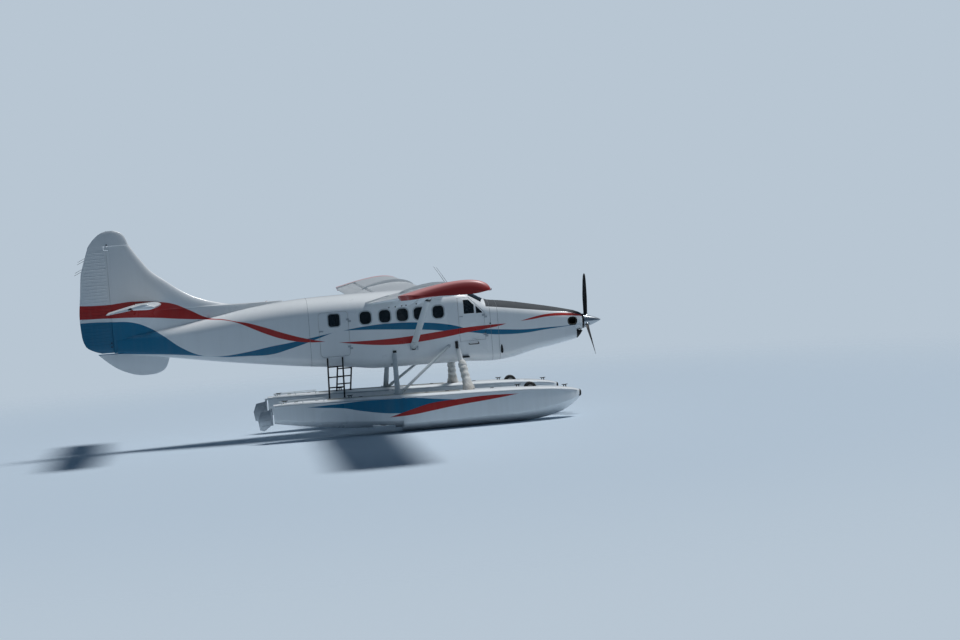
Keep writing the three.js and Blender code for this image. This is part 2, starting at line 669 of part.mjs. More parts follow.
// Horn balance above the fin, columns: z, leading edge, trailing edge, half thickness
const HORN = [
  [FIN_TOP_Z + RUN, -5125, -6105, 56], [5120, -5165, -6020, 52], [5230, -5215, -5915, 44],
  [5320, -5310, -5790, 32], [5372, -5440, -5640, 14],
];

function makeRudder() {
  const lower = loft(RUDDER.map(([z, tail]) => rudderRing(z, tail)));
  const horn = loft(HORN.map(([z, le, te, half]) => finRing(z, le, te, half, 0.12)));
  const web = planPrism(shapeOf([
    [FIN_HINGE_X - 75, 26], [-6115, 6], [-6115, -6], [FIN_HINGE_X - 75, -26],
  ]), 4890, FIN_TOP_Z + 20);
  const pin = bar([FIN_HINGE_X, 0, RUDDER_LUG.z1 + FIT], [FIN_HINGE_X, 0, FIN_TOP_Z + 30], 18);
  return join(lower, horn, web, pin);
}

// The fin under the tail runs on below the rudder
const VENTRAL = [
  [-4340, 2250], [-4400, 2060], [-4480, 1925], [-4620, 1845], [-4790, 1812], [-5000, 1808], [-5150, 1825],
  [-5360, 1890], [-5600, 2005], [-5850, 2190], [-6050, 2380], [-6055, 2392], [-5590, 2392], [-5585, 2420],
  [-4330, 2420],
];
const VENTRAL_HALF = 22;

const makeVentral = () => cut(sidePrism(shapeOf(VENTRAL), -VENTRAL_HALF, VENTRAL_HALF), bodyClear);

function tailplaneRing(y, grow = 0) {
  const share = Math.abs(y) / TAILPLANE.half;
  const le = THREE.MathUtils.lerp(TAILPLANE.rootLE, TAILPLANE.tipLE, share) + grow;
  const rear = TAILPLANE.hinge + 44 - grow;
  const half = THREE.MathUtils.lerp(TAILPLANE.thick, 62, share) / 2 + 22 + grow;
  return finRing(0, le, rear, half, 0.72).map(([x, v]) => [x, y, TAILPLANE.z + v]);
}

const ELEVATOR_Y = [215, 3226];

function makeTailplane(grow = 0) {
  const inner = loft([-TAILPLANE.half, 0, TAILPLANE.half].map((y) => tailplaneRing(y, grow)));
  if (grow) return inner;
  const lugs = [-1, 1].map((side) => {
    const [y0, y1] = side > 0 ? [185, ELEVATOR_Y[0] - RUN] : [-ELEVATOR_Y[0] + RUN, -185];
    return sidePrism(shapeOf([
      [TAILPLANE.hinge + 80, TAILPLANE.z + 30], [TAILPLANE.hinge - 26, TAILPLANE.z + 24],
      [TAILPLANE.hinge - 26, TAILPLANE.z - 24], [TAILPLANE.hinge + 80, TAILPLANE.z - 30],
    ]), y0, y1);
  });
  return join(inner, ...lugs);
}

function elevatorRing(y) {
  const share = (y - ELEVATOR_Y[0]) / (ELEVATOR_Y[1] - ELEVATOR_Y[0]);
  const nose = THREE.MathUtils.lerp(38, 26, share);
  const ring = [];
  for (let i = 0; i <= 6; i++) {
    const t = -Math.PI * 0.48 + (Math.PI * 0.96 * i) / 6;
    ring.push([TAILPLANE.hinge + nose * Math.cos(t), y, TAILPLANE.z + nose * Math.sin(t)]);
  }
  const tail = TAILPLANE.hinge - THREE.MathUtils.lerp(ELEVATOR_CHORD, ELEVATOR_CHORD - 50, share);
  ring.push([tail, y, TAILPLANE.z + 5], [tail, y, TAILPLANE.z - 5]);
  return ring;
}

// The elevator's balance lies ahead of its hinge, outboard of the tailplane
// Columns: y, reach ahead of the hinge, half thickness
const BALANCE = [[TAILPLANE.half + 16, 440, 37], [3190, 428, 36], [ELEVATOR_Y[1], 385, 30]];
const BALANCE_BACK = 60;

function makeElevator() {
  const { hinge, z } = TAILPLANE;
  const body = loft(ELEVATOR_Y.map(elevatorRing));
  const balance = loft(BALANCE.map(([y, reach, half]) => (
    finRing(0, hinge + reach, hinge - BALANCE_BACK, half, 0.6).map(([x, v]) => [x, y, z + v]))));
  const pin = bar([hinge, ELEVATOR_Y[0] - RUN + FIT, z], [hinge, ELEVATOR_Y[0] + 20, z], 18);
  return turned(join(body, balance, pin), [0, 1, 0], -ELEVATOR_DROOP, [hinge, 0, z]);
}

// Floats

// Columns: station, half beam, keel, chine, deck edge, deck crown
const FLOAT_FORE = [
  [5450, 95, 470, 545, 625, 645], [5250, 235, 300, 455, 680, 710], [4900, 345, 130, 370, 735, 770],
  [4400, 425, 30, 290, 778, 815], [3800, 468, 0, 245, 805, 845], [STEP_X, 478, 0, 225, 868, 908],
];
const FLOAT_AFT = [
  [STEP_X + 40, 470, 105, 300, 868, 908], [-400, 395, 220, 395, 895, 930],
  [-1500, 250, 370, 500, 905, 932], [-2000, 165, 455, 560, 890, 910],
];
const KEEL_HALF = 18;

function floatRing([x, half, keel, chine, edge, crown], grow) {
  const g = grow;
  const side = [
    [KEEL_HALF, keel - g], [half + g, chine - g], [half + g, chine + 40], [half * 0.97 + g, edge + g],
    [half * 0.72, edge + (crown - edge) * 0.75 + g],
  ];
  const port = side.map(([y, z]) => [x, FLOAT_Y + y, z]);
  const starboard = side.slice().reverse().map(([y, z]) => [x, FLOAT_Y - y, z]);
  return [...port, [x, FLOAT_Y, crown + g], ...starboard];
}

const floatHull = (grow = 0) => join(
  loft(FLOAT_FORE.map((row) => floatRing(row, grow))), loft(FLOAT_AFT.map((row) => floatRing(row, grow))));

const MAIN_WELL = { x0: MAIN_WHEEL.x - 280, x1: MAIN_WHEEL.x + 280, half: 185, top: 715 };
const NOSE_WELL = { x0: NOSE_WHEEL.x - 185, x1: NOSE_WHEEL.x + 185, half: 92, floor: 600 };
const AXLE = 22;
const MAIN_LEG = { half: 45, thick: 18 };
const CLEAT = { xs: [4660, 3820, -150, -1720], half: 75, foot: 32, height: 45, radius: 11 };

// A box across the float's middle line
const midBox = (x0, x1, half, z0, z1) => box(x0, x1, FLOAT_Y - half, FLOAT_Y + half, z0, z1);

// Height of the deck's crown at a station
function deckZ(station) {
  const rows = [...FLOAT_FORE, ...FLOAT_AFT];
  const next = rows.findIndex(([x]) => x <= station);
  const [a, b] = [rows[next - 1], rows[next]];
  return THREE.MathUtils.mapLinear(station, a[0], b[0], a[5], b[5]);
}

// A mooring cleat: two feet and a horn along the deck
function makeCleat(x) {
  const deck = deckZ(x);
  const top = deck + CLEAT.height;
  const feet = [-1, 1].map((end) => bar(
    [x + end * CLEAT.foot, FLOAT_Y, deck - 15], [x + end * CLEAT.foot, FLOAT_Y, top], CLEAT.radius));
  return join(bar([x - CLEAT.half, FLOAT_Y, top], [x + CLEAT.half, FLOAT_Y, top], CLEAT.radius), ...feet);
}

function makeFloat() {
  const mainWell = midBox(MAIN_WELL.x0, MAIN_WELL.x1, MAIN_WELL.half, -50, MAIN_WELL.top);
  const noseWell = midBox(NOSE_WELL.x0, NOSE_WELL.x1, NOSE_WELL.half, NOSE_WELL.floor, 1200);
  // The main leg comes down between its two wheels
  const { x, z } = MAIN_WHEEL;
  const leg = midBox(x - MAIN_LEG.half, x + MAIN_LEG.half, MAIN_LEG.thick, z - 50, MAIN_WELL.top + 20);
  const axleHole = bar([x, FLOAT_Y - 60, z], [x, FLOAT_Y + 60, z], AXLE + FIT);
  const bumper = bar([5440, FLOAT_Y, 500], [5470, FLOAT_Y, 590], 60, 60);
  const hull = cut(join(floatHull(), bumper), mainWell, noseWell);
  return join(hull, cut(leg, axleHole), ...CLEAT.xs.map(makeCleat));
}

// Half of a wheel's section from the tread to the hub: radius and half width
const TYRE = [[1, 0.35], [0.9, 0.86], [0.72, 1], [0.5, 0.8], [0.45, 0.62], [0, 0.62]];

// A tyre with its rim, turned about Y
function tyre(radius, width, y) {
  const outer = TYRE.map(([r, v]) => new THREE.Vector2(r * radius, (v * width) / 2));
  const inner = outer.map(({ x, y: v }) => new THREE.Vector2(x, -v)).reverse();
  const geometry = new THREE.LatheGeometry([...inner, ...outer], 22);
  geometry.translate(0, y, 0);
  return solid(geometry);
}

function placed(manifold, x, y, z) {
  const geometry = geometryOf(manifold);
  geometry.translate(x, y, z);
  return solid(geometry);
}

function makeNoseWheel() {
  const reach = NOSE_WELL.half - FIT;
  const wheel = join(tyre(NOSE_WHEEL.radius, NOSE_WHEEL.width, 0), bar([0, -reach, 0], [0, reach, 0], AXLE));
  return placed(wheel, NOSE_WHEEL.x, FLOAT_Y, NOSE_WHEEL.z);
}

function makeMainWheels() {
  const pair = [-1, 1].map((side) => tyre(MAIN_WHEEL.radius, MAIN_WHEEL.width, side * MAIN_WHEEL.offset));
  const axle = bar([0, -MAIN_WHEEL.offset, 0], [0, MAIN_WHEEL.offset, 0], AXLE);
  return placed(join(pair[0], pair[1], axle), MAIN_WHEEL.x, FLOAT_Y, MAIN_WHEEL.z);
}

// The water rudder hangs on a post behind the stern
const WATER_RUDDER = { x: -2055, top: 830 };
const WATER_PLATE = [[-22, 800], [-250, 760], [-330, 560], [-300, 330], [-200, 300], [-22, 420]];

function makeWaterRudder() {
  const { x, top } = WATER_RUDDER;
  const plate = sidePrism(shapeOf(WATER_PLATE.map(([dx, z]) => [x + dx, z])), FLOAT_Y - 9, FLOAT_Y + 9);
  return join(plate, bar([x, FLOAT_Y, 420], [x, FLOAT_Y, top - 3 * FIT], 24));
}

// Fixed bracket over the water rudder's post, part of the float
const waterRudderBracket = () => midBox(
  WATER_RUDDER.x - 30, WATER_RUDDER.x + 155, 30, WATER_RUDDER.top, WATER_RUDDER.top + 40);

const floatTrim = join(floatHull(FIT), mirrored(floatHull(FIT)));
// Ends of the struts to the floats, and their chord there
const FLOAT_STRUTS = {
  front: { top: [2640, 690, 1985, 120], foot: [2755, 1500, 800, 120], thick: 62 },
  rear: { top: [1090, 690, 2010, 105], foot: [1020, 1500, 820, 138], thick: 64 },
};
const DIAGONAL = { top: [2510, 745, 1990], foot: [1075, 1435, 915], radius: 35 };
// The pleated sleeve on the front strut, columns: share of the way down, radius
const SLEEVE = [
  [0.36, 62], [0.44, 100], [0.5, 92], [0.56, 102], [0.62, 94], [0.68, 106], [0.74, 98], [0.8, 112],
  [0.92, 145], [1.03, 145],
];

function lerpPoint(a, b, t) {
  return a.map((v, i) => v + (b[i] - v) * t);
}

const strutBlade = ({ top, foot, thick }, grow = 0) => blade(
  [top, foot].map(([x, y, z, chord]) => [x, y, z, chord + 2 * grow]), thick + 4 * Math.sign(grow));

function frontStrutSolid(grow) {
  const [top, foot] = [FLOAT_STRUTS.front.top, FLOAT_STRUTS.front.foot].map((end) => end.slice(0, 3));
  const length = new THREE.Vector3(...top).distanceTo(new THREE.Vector3(...foot));
  const pleats = SLEEVE.map(([share, radius]) => [radius + Math.sign(grow), share * length]);
  const profile = [[0, pleats[0][1]], ...pleats, [0, pleats.at(-1)[1]]];
  const sleeve = new THREE.LatheGeometry(profile.map(([r, along]) => new THREE.Vector2(r, along)), 16);
  return join(strutBlade(FLOAT_STRUTS.front, grow), aimed(sleeve, top, foot));
}

const makeFrontStrut = () => cut(frontStrutSolid(0), bodyClear, floatTrim);
const makeRearStrut = () => cut(strutBlade(FLOAT_STRUTS.rear), bodyClear, floatTrim);

function makeDiagonal() {
  const tube = bar(DIAGONAL.top, DIAGONAL.foot, DIAGONAL.radius);
  return cut(tube, bodyClear, floatTrim, frontStrutSolid(FIT), strutBlade(FLOAT_STRUTS.rear, FIT));
}

const SPREADER = { chord: 120, thick: 62, z: 640 };

function makeSpreader(x) {
  const ends = [-FLOAT_Y, FLOAT_Y].map((y) => streamline(12).map(([u, v]) => (
    [x - SPREADER.chord * (u - 0.4), y, SPREADER.z + v * SPREADER.thick])));
  return cut(loft(ends), floatTrim);
}

// Ladders from the sill down to the float's deck, leaning aft towards the foot
const LADDER = { topZ: 1880, footZ: 880, rail: 20, rung: 16, hookY: 760 };
const LADDERS = {
  right: { xs: [-572, -206], lean: -50, topY: -850, footY: -1185, rungs: [0.216, 0.46, 0.706] },
  left: { xs: [-185, 168], lean: -75, topY: 850, footY: 1300, rungs: [0.18, 0.38, 0.583, 0.779] },
};

function makeLadder({ xs, lean, topY, footY, rungs }) {
  const { topZ, footZ } = LADDER;
  const at = (x, share) => lerpPoint([x, topY, topZ], [x + lean, footY, footZ], share);
  const rails = xs.map((x) => bar(at(x, 0), at(x, 1), LADDER.rail, LADDER.rail, 8));
  const steps = rungs.map((t) => bar(at(xs[0], t), at(xs[1], t), LADDER.rung, LADDER.rung, 8));
  const [y0, y1] = topY > 0 ? [LADDER.hookY, topY] : [topY, -LADDER.hookY];
  const hooks = xs.map((x) => box(x - 12, x + 12, y0, y1, topZ - 50, topZ - 15));
  return cut(join(...rails, ...steps, ...hooks), bodyClear, floatTrim);
}

// Cabin furniture

const BENCH = { width: 420, low: 2230, high: 2330, backTop: 2760, lean: -0.14 };
const SEAT_XS = [500, 1150, 1800];
const SEAT_Y = 480;
const PILOT_SEAT = { x: 2520, y: 360 };

function seatSolid(x, y) {
  const half = BENCH.width / 2;
  const back = box(x - 80, x + 10, y - half, y + half, BENCH.low, BENCH.backTop);
  return join(
    box(x - 20, x + 420, y - half, y + half, BENCH.low, BENCH.high),
    turned(back, [0, 1, 0], BENCH.lean, [x, y, BENCH.low]),
    box(x + 40, x + 340, y - half + 60, y + half - 60, FLOOR_Z + FIT, BENCH.low + 10),
  );
}

// A flat piece that stands on the cabin floor
const onFloor = (x0, x1, y0, y1, height) => box(x0, x1, y0, y1, FLOOR_Z + FIT, FLOOR_Z + height);

function makeSeatRows() {
  const seats = SEAT_XS.flatMap((x) => [-SEAT_Y, SEAT_Y].map((y) => seatSolid(x, y)));
  const rails = [-SEAT_Y, SEAT_Y].map((y) => onFloor(540, 2140, y - 25, y + 25, 30));
  return join(...seats, ...rails, onFloor(640, 690, -SEAT_Y, SEAT_Y, 12));
}

function makePilotSeats() {
  const { x, y } = PILOT_SEAT;
  return join(seatSolid(x, -y), seatSolid(x, y), onFloor(x + 100, x + 180, -y, y, 25));
}

const PANEL = { x: 3110, thick: 70, half: 560, low: 2330, high: 2740, shade: 25 };

function makePanel() {
  const room = bodyLoft(CABIN, WALL + 2 * RUN);
  const { x, thick, half, low, high, shade } = PANEL;
  const board = box(x, x + thick, -half, half, low, high).intersect(room);
  const hood = box(x - 30, x + 190, -half + 90, half - 90, high, high + shade).intersect(room);
  return join(board, hood, box(x - 50, FIREWALL_X - WALL - FIT, -130, 130, FLOOR_Z + FIT, low + 70));
}

// Finishes: colour, roughness, metalness
const finish = (color, roughness, metalness) => new THREE.MeshStandardMaterial(
  { color, roughness, metalness });
const FINISHES = {
  white: finish(0xdfe5ea, 0.35, 0.1),
  red: finish(0xb5463c, 0.4, 0.1),
  metal: finish(0xc4cace, 0.3, 0.8),
  dark: finish(0x1b1d22, 0.55, 0.1),
  glass: finish(0x30414c, 0.1, 0.0),
  rubber: finish(0x17181a, 0.8, 0.0),
  trim: finish(0x5a6068, 0.8, 0.0),
  engine: finish(0x6d6a66, 0.5, 0.6),
};

const floatplane = new THREE.Group();

function add(name, manifold, material) {
  const mesh = new THREE.Mesh(geometryOf(manifold), FINISHES[material]);
  mesh.name = name;
  floatplane.add(mesh);
}

// The same piece on either side
function addPair(name, manifold, material) {
  add(`${name}_left`, manifold, material);
  add(`${name}_right`, mirrored(manifold), material);
}

add('cabin_shell', makeCabinShell(), 'white');
add('tail_cone', makeTailCone(), 'white');
add('engine_cowl', makeCowl(), 'white');
add('intake_lip', makeIntakeLip(), 'dark');
add('engine_block', makeEngine(), 'engine');
add('exhaust_left', makeExhaust(1), 'dark');
add('exhaust_right', makeExhaust(-1), 'dark');
add('windscreen', makeWindscreen(), 'glass');
add('side_glazing_left', makeSideGlazing(1), 'glass');
add('side_glazing_right', makeSideGlazing(-1), 'glass');

const paneCuts = (side) => COCKPIT_PANES.map((points) => across(shapeOf(points), side));
const doorWindow = (side) => [windowCut(DOOR_WINDOW_X, side)];
const DOORS = [
  ['cabin_door_right', doorShape(CABIN_DOOR, RUN), -1, doorWindow, HINGES.cabin_right],
  ['cargo_door_left', doorShape(CARGO_DOOR, RUN), 1, doorWindow, HINGES.cargo_left],
  ['cockpit_door_right', cockpitShape(RUN), -1, paneCuts, HINGES.cockpit_right],
  ['cockpit_door_left', cockpitShape(RUN), 1, paneCuts, HINGES.cockpit_left],
];
for (const [name, shape, side, panes, hinge] of DOORS) {
  add(name, makeDoor(shape, side, panes(side), hinge), 'white');
}

add('cabin_seats', makeSeatRows(), 'trim');
add('pilot_seats', makePilotSeats(), 'trim');
add('instrument_panel', makePanel(), 'dark');

add('spinner', makeSpinner(), 'metal');
add('propeller_blades', makeBlades(), 'dark');

addPair('wing', makeWing(), 'white');
addPair('wing_tip', makeWingTip(), 'red');
addPair('flap', makeSurface(FLAP_Y, [FLAP_Y[0] - PIN_REACH, FLAP_Y[0] + 20]), 'white');
addPair('aileron', makeSurface(AILERON_Y, [AILERON_Y[1] - 20, AILERON_Y[1] + PIN_REACH]), 'white');
addPair('wing_strut', makeWingStrut(), 'white');

add('fin', makeFin(makeTailplane(FIT)), 'white');
add('rudder', makeRudder(), 'white');
add('ventral_fin', makeVentral(), 'white');
add('tailplane', makeTailplane(), 'white');
addPair('elevator', makeElevator(), 'white');

addPair('float', makeFloat().add(waterRudderBracket()), 'white');
addPair('water_rudder', makeWaterRudder(), 'metal');
addPair('nose_wheel', makeNoseWheel(), 'rubber');
addPair('main_wheels', makeMainWheels(), 'rubber');
addPair('front_strut', makeFrontStrut(), 'white');
addPair('rear_strut', makeRearStrut(), 'white');
addPair('diagonal_strut', makeDiagonal(), 'metal');
add('front_spreader', makeSpreader(2780), 'metal');
add('rear_spreader', makeSpreader(1330), 'metal');
add('ladder_right', makeLadder(LADDERS.right), 'dark');
add('ladder_left', makeLadder(LADDERS.left), 'dark');

export default floatplane;
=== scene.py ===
from math import copysign, cos, hypot, pi, radians, sin, sqrt, tan

import bmesh
import bpy
import numpy as np
from mathutils import Matrix, Vector


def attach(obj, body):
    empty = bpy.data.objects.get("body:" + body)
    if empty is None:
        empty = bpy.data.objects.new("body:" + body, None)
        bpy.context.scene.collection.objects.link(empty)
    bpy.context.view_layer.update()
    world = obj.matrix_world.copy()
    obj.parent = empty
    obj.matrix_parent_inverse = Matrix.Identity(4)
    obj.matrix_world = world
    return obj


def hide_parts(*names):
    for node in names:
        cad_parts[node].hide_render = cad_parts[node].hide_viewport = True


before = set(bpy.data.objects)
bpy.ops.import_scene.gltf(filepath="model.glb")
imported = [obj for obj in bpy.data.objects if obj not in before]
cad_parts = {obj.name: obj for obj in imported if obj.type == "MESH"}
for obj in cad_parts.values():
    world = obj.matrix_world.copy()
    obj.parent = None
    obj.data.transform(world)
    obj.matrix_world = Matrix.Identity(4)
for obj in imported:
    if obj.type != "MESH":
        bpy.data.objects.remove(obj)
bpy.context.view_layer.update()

scene = bpy.context.scene

# Camera, floor and light
# The photograph was taken from some 50 m off, a little behind the starboard beam, while the craft rode
# nose-up and heeled a little. The camera stands there, round a point amidships, over a seamless pale floor.


def hexed(code):
    """An sRGB hex colour as linear red, green, blue and full alpha."""
    parts = [int(code[i : i + 2], 16) / 255 for i in (1, 3, 5)]
    return [v / 12.92 if v <= 0.04045 else ((v + 0.055) / 1.055) ** 2.4 for v in parts] + [1.0]


def add(tree, kind, *inputs, named=None, **settings):
    """One node with its settings. Inputs are values or nodes, in socket order or by name; None is skipped."""
    made = tree.nodes.new(kind)
    for key, value in settings.items():
        setattr(made, key, value)
    pairs = [(made.inputs[i], v) for i, v in enumerate(inputs) if v is not None]
    pairs += [(made.inputs[key], v) for key, v in (named or {}).items()]
    for socket, value in pairs:
        if isinstance(value, bpy.types.Node):
            value = value.outputs[0]
        if isinstance(value, bpy.types.NodeSocket):
            tree.links.new(value, socket)
        else:
            socket.default_value = value
    return made


def surface(name, colour, roughness, metallic=0.0, **sockets):
    """A material with one shader, whose plain values stay on its own sockets, and Object coordinates."""
    material = bpy.data.materials.new(name)
    material.use_nodes = True
    tree = material.node_tree
    tree.nodes.clear()
    named = {"Base Color": hexed(colour), "Roughness": roughness, "Metallic": metallic}
    named.update({key.replace("_", " "): value for key, value in sockets.items()})
    shader = add(tree, "ShaderNodeBsdfPrincipled", named=named)
    add(tree, "ShaderNodeOutputMaterial", shader)
    place = add(tree, "ShaderNodeTexCoord").outputs["Object"]
    return material, tree, shader, place


focus = Vector((3.4, 0.0, 3.0))
distance, yaw = 50.0, radians(8.5)
nose_up, heel = radians(4.2), radians(1.0)
dip, tilt = radians(0.61), radians(0.42)
craft = Matrix.Rotation(heel, 4, "X") @ Matrix.Rotation(-nose_up, 4, "Y")
stand = Matrix.Translation((-distance * sin(yaw), -distance * cos(yaw), 0))
level = Matrix.Rotation(pi / 2 - dip, 4, "X")
aim = Matrix.Rotation(-yaw, 4, "Z") @ level @ Matrix.Rotation(-tilt, 4, "Z")
camera = bpy.data.objects.new("camera", bpy.data.cameras.new("camera"))
camera.data.lens, camera.data.sensor_width, camera.data.clip_end = 75.0, 36.0, 500.0
camera.matrix_world = Matrix.Translation(focus) @ craft.inverted() @ stand @ aim
scene.collection.objects.link(camera)
scene.camera = camera


def mesh_of(points, faces):
    """A linked mesh object with its faces turned outwards."""
    mesh = bpy.data.meshes.new("shape")
    mesh.from_pydata([tuple(p) for p in points], [], [tuple(int(i) for i in f) for f in faces])
    work = bmesh.new()
    work.from_mesh(mesh)
    bmesh.ops.recalc_face_normals(work, faces=work.faces)
    work.to_mesh(mesh)
    work.free()
    made = bpy.data.objects.new("shape", mesh)
    scene.collection.objects.link(made)
    return made


def full_turn(count):
    """Even angles once round."""
    return np.linspace(0, 2 * pi, count, endpoint=False)


floor_radius, floor_level, floor_sides, fade_start, fade_end = 90.0, -0.002, 64, 12.0, 30.0
floor_edge = [(floor_radius * cos(t), floor_radius * sin(t), floor_level)
              for t in full_turn(floor_sides)]
floor = mesh_of(floor_edge, [range(floor_sides)])
floor.name = "studio_floor"
paint, tree, shader, place = surface("pale_floor_paper", "#bac9d6", 0.9)
paint.node_tree.nodes.remove(next(n for n in tree.nodes if n.type == "OUTPUT_MATERIAL"))
reach = add(tree, "ShaderNodeVectorMath", place, operation="LENGTH").outputs["Value"]
gone = add(tree, "ShaderNodeMapRange", reach, fade_start, fade_end, interpolation_type="SMOOTHSTEP")
under = add(tree, "ShaderNodeNewGeometry").outputs["Backfacing"]
gone = add(tree, "ShaderNodeMath", gone, under, operation="MAXIMUM")
clear = add(tree, "ShaderNodeBsdfTransparent")
add(tree, "ShaderNodeOutputMaterial", add(tree, "ShaderNodeMixShader", gone, shader, clear))
floor.data.materials.append(paint)

world = bpy.data.worlds.new("studio")
world.use_nodes = True
tree = world.node_tree
tree.nodes.clear()
seen = add(tree, "ShaderNodeBackground", hexed("#b8c6d3"), 1.0)
sky = add(tree, "ShaderNodeBackground", hexed("#86aed4"), 0.17)
ray = add(tree, "ShaderNodeLightPath").outputs["Is Camera Ray"]
add(tree, "ShaderNodeOutputWorld", add(tree, "ShaderNodeMixShader", ray, sky, seen))
scene.world = world
scene.view_settings.view_transform = "Standard"
# One soft high light from the port bow, so that the near side lies in open shade
sun = bpy.data.objects.new("high_light", bpy.data.lights.new("high_light", "SUN"))
sun.data.energy, sun.data.angle = 2.9, radians(14)
shine = Vector((-0.42, -0.12, -0.9))
sun.rotation_euler = shine.to_track_quat("-Z", "Y").to_euler()
scene.collection.objects.link(sun)

# Floats
# Two riveted alloy hulls with a stepped V bottom and a crowned deck, white with a blue and a red flash. Each
# is one skin over sections with the wheel wells cut out; rub strips, cleats and caps are fixed on top.


def fair(rows, spacing):
    """A table's rows at even steps, on smooth curves through its stations that never overshoot them."""
    rows = np.array(sorted(map(tuple, rows)), float)
    x, values = rows[:, 0], rows[:, 1:]
    rise = np.diff(values, axis=0) / np.diff(x)[:, None]
    before, after = np.vstack([rise[:1], rise]), np.vstack([rise, rise[-1:]])
    same = before * after > 0
    slope = np.where(same, 2 * before * after / np.where(same, before + after, 1), 0)
    made = []
    for i, step in enumerate(np.diff(x)):
        for t in np.linspace(0, 1, max(1, round(step / spacing)), endpoint=False):
            blend = (2 * t**3 - 3 * t**2 + 1, (t**3 - 2 * t**2 + t) * step,
                     3 * t**2 - 2 * t**3, (t**3 - t**2) * step)
            made.append((x[i] + t * step, *(blend[0] * values[i] + blend[1] * slope[i]
                                            + blend[2] * values[i + 1] + blend[3] * slope[i + 1])))
    return np.array([*made, tuple(rows[-1])])


def skin(rings):
    """A closed skin over rings with the same number of points, flat at both ends."""
    rings = np.asarray(rings, float)
    rows, count = rings.shape[:2]
    index = np.arange(rows * count).reshape(rows, count)
    near, far = index, np.roll(index, -1, axis=1)
    quads = np.stack([near[:-1], far[:-1], far[1:], near[1:]], axis=-1).reshape(-1, 4)
    return mesh_of(rings.reshape(-1, 3), [*quads, index[0][::-1], index[-1]])


def prism(outline, low, high, along="y"):
    """An outline in the two other axes, run from low to high along this one."""
    turn = {"x": lambda u, v, w: (w, u, v), "y": lambda u, v, w: (u, w, v),
            "z": lambda u, v, w: (u, v, w)}[along]
    return skin([[turn(u, v, w) for u, v in outline] for w in (low, high)])


def box(x0, x1, y0, y1, z0, z1):
    return prism([(x0, z0), (x1, z0), (x1, z1), (x0, z1)], min(y0, y1), max(y0, y1))


def tube(path, radius, sides=14):
    """A round bar along a path, with one radius or one for each point."""
    path = np.asarray(path, float)
    radii = np.broadcast_to(radius, len(path))
    rings, side = [], None
    for point, run, size in zip(path, np.gradient(path, axis=0), radii):
        run = run / np.linalg.norm(run)
        if side is None:
            side = np.cross(run, (0, 0, 1) if abs(run[2]) < 0.9 else (1, 0, 0))
        side = side - run * (side @ run)
        side /= np.linalg.norm(side)
        up = np.cross(run, side)
        rings.append([point + size * (cos(t) * side + sin(t) * up) for t in full_turn(sides)])
    return skin(rings)


def baked(piece):
    """The result of a piece's modifiers becomes its own plain mesh."""
    graph = bpy.context.evaluated_depsgraph_get()
    made = bpy.data.meshes.new_from_object(piece.evaluated_get(graph), depsgraph=graph)
    piece.modifiers.clear()
    old, piece.data = piece.data, made
    bpy.data.meshes.remove(old)
    return piece


def carve(piece, tool, operation="DIFFERENCE", keep=False):
    """Cuts the tool out of a piece, joins it, or keeps what both share."""
    change = piece.modifiers.new("carve", "BOOLEAN")
    change.operation, change.solver, change.object = operation, "MANIFOLD", tool
    baked(piece)
    if not keep:
        bpy.data.objects.remove(tool)
    return piece


def copy_of(piece):
    made = bpy.data.objects.new("shape", piece.data.copy())
    scene.collection.objects.link(made)
    return made


def gathered(pieces):
    """Several pieces as one, in the first one's place."""
    work = bmesh.new()
    for piece in pieces:
        work.from_mesh(piece.data)
    work.to_mesh(pieces[0].data)
    work.free()
    for piece in pieces[1:]:
        bpy.data.objects.remove(piece)
    return pieces[0]


def on_side(piece, side):
    """A port piece as it is for the left, turned over for the right."""
    if side == "left":
        return piece
    work = bmesh.new()
    work.from_mesh(piece.data)
    for corner in work.verts:
        corner.co.y = -corner.co.y
    bmesh.ops.reverse_faces(work, faces=work.faces)
    work.to_mesh(piece.data)
    work.free()
    return piece


def softened(piece, width, segments=2, angle=40):
    """Rounds a piece's sharp edges."""
    change = piece.modifiers.new("edge", "BEVEL")
    change.width, change.segments, change.limit_method = width, segments, "ANGLE"
    change.angle_limit = radians(angle)
    return baked(piece)


def fitted(piece, name, material, stands_for=(), body="airframe", crease=32):
    """Names and shades a finished piece, or a list as one piece, and makes it ride on its body."""
    if isinstance(piece, list):
        piece = gathered(piece)
    piece.name = piece.data.name = name
    if not any(piece.data.materials):
        piece.data.materials.clear()
        piece.data.materials.append(material)
    piece.data.shade_smooth()
    piece.data.set_sharp_from_angle(angle=radians(crease))
    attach(piece, body)
    if stands_for:
        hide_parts(*stands_for)
    return piece


def stripe(tree, place, rows, edge=0.007):
    """A painted flash in the side view. Its columns: station, upper edge, lower edge, in metres."""
    rows = np.array(rows)
    split = add(tree, "ShaderNodeSeparateXYZ", place)
    along = add(tree, "ShaderNodeMapRange", split.outputs["X"], rows[0, 0], rows[-1, 0], 0.0, 1.0)
    sides = []
    for column, sign in ((1, 1), (2, -1)):
        curve = add(tree, "ShaderNodeFloatCurve", 1.0, along)
        points = curve.mapping.curves[0].points
        heights = rows[:, column] / tall
        stations = (rows[:, 0] - rows[0, 0]) / (rows[-1, 0] - rows[0, 0])
        points[0].location, points[1].location = (0, heights[0]), (1, heights[-1])
        for station, height in zip(stations[1:-1], heights[1:-1]):
            points.new(station, height)
        curve.mapping.update()
        level = add(tree, "ShaderNodeMath", curve, tall, operation="MULTIPLY")
        inside = add(tree, "ShaderNodeMath", level, split.outputs["Z"], operation="SUBTRACT")
        sides.append(add(tree, "ShaderNodeMath", inside, sign / edge, operation="MULTIPLY", use_clamp=True))
    return add(tree, "ShaderNodeMath", *sides, operation="MINIMUM")


# The stripes' curves run from the keels up to this height, in metres
tall = 5.5
white, stripe_red, stripe_blue = "#e9edef", "#b4261f", "#006b90"


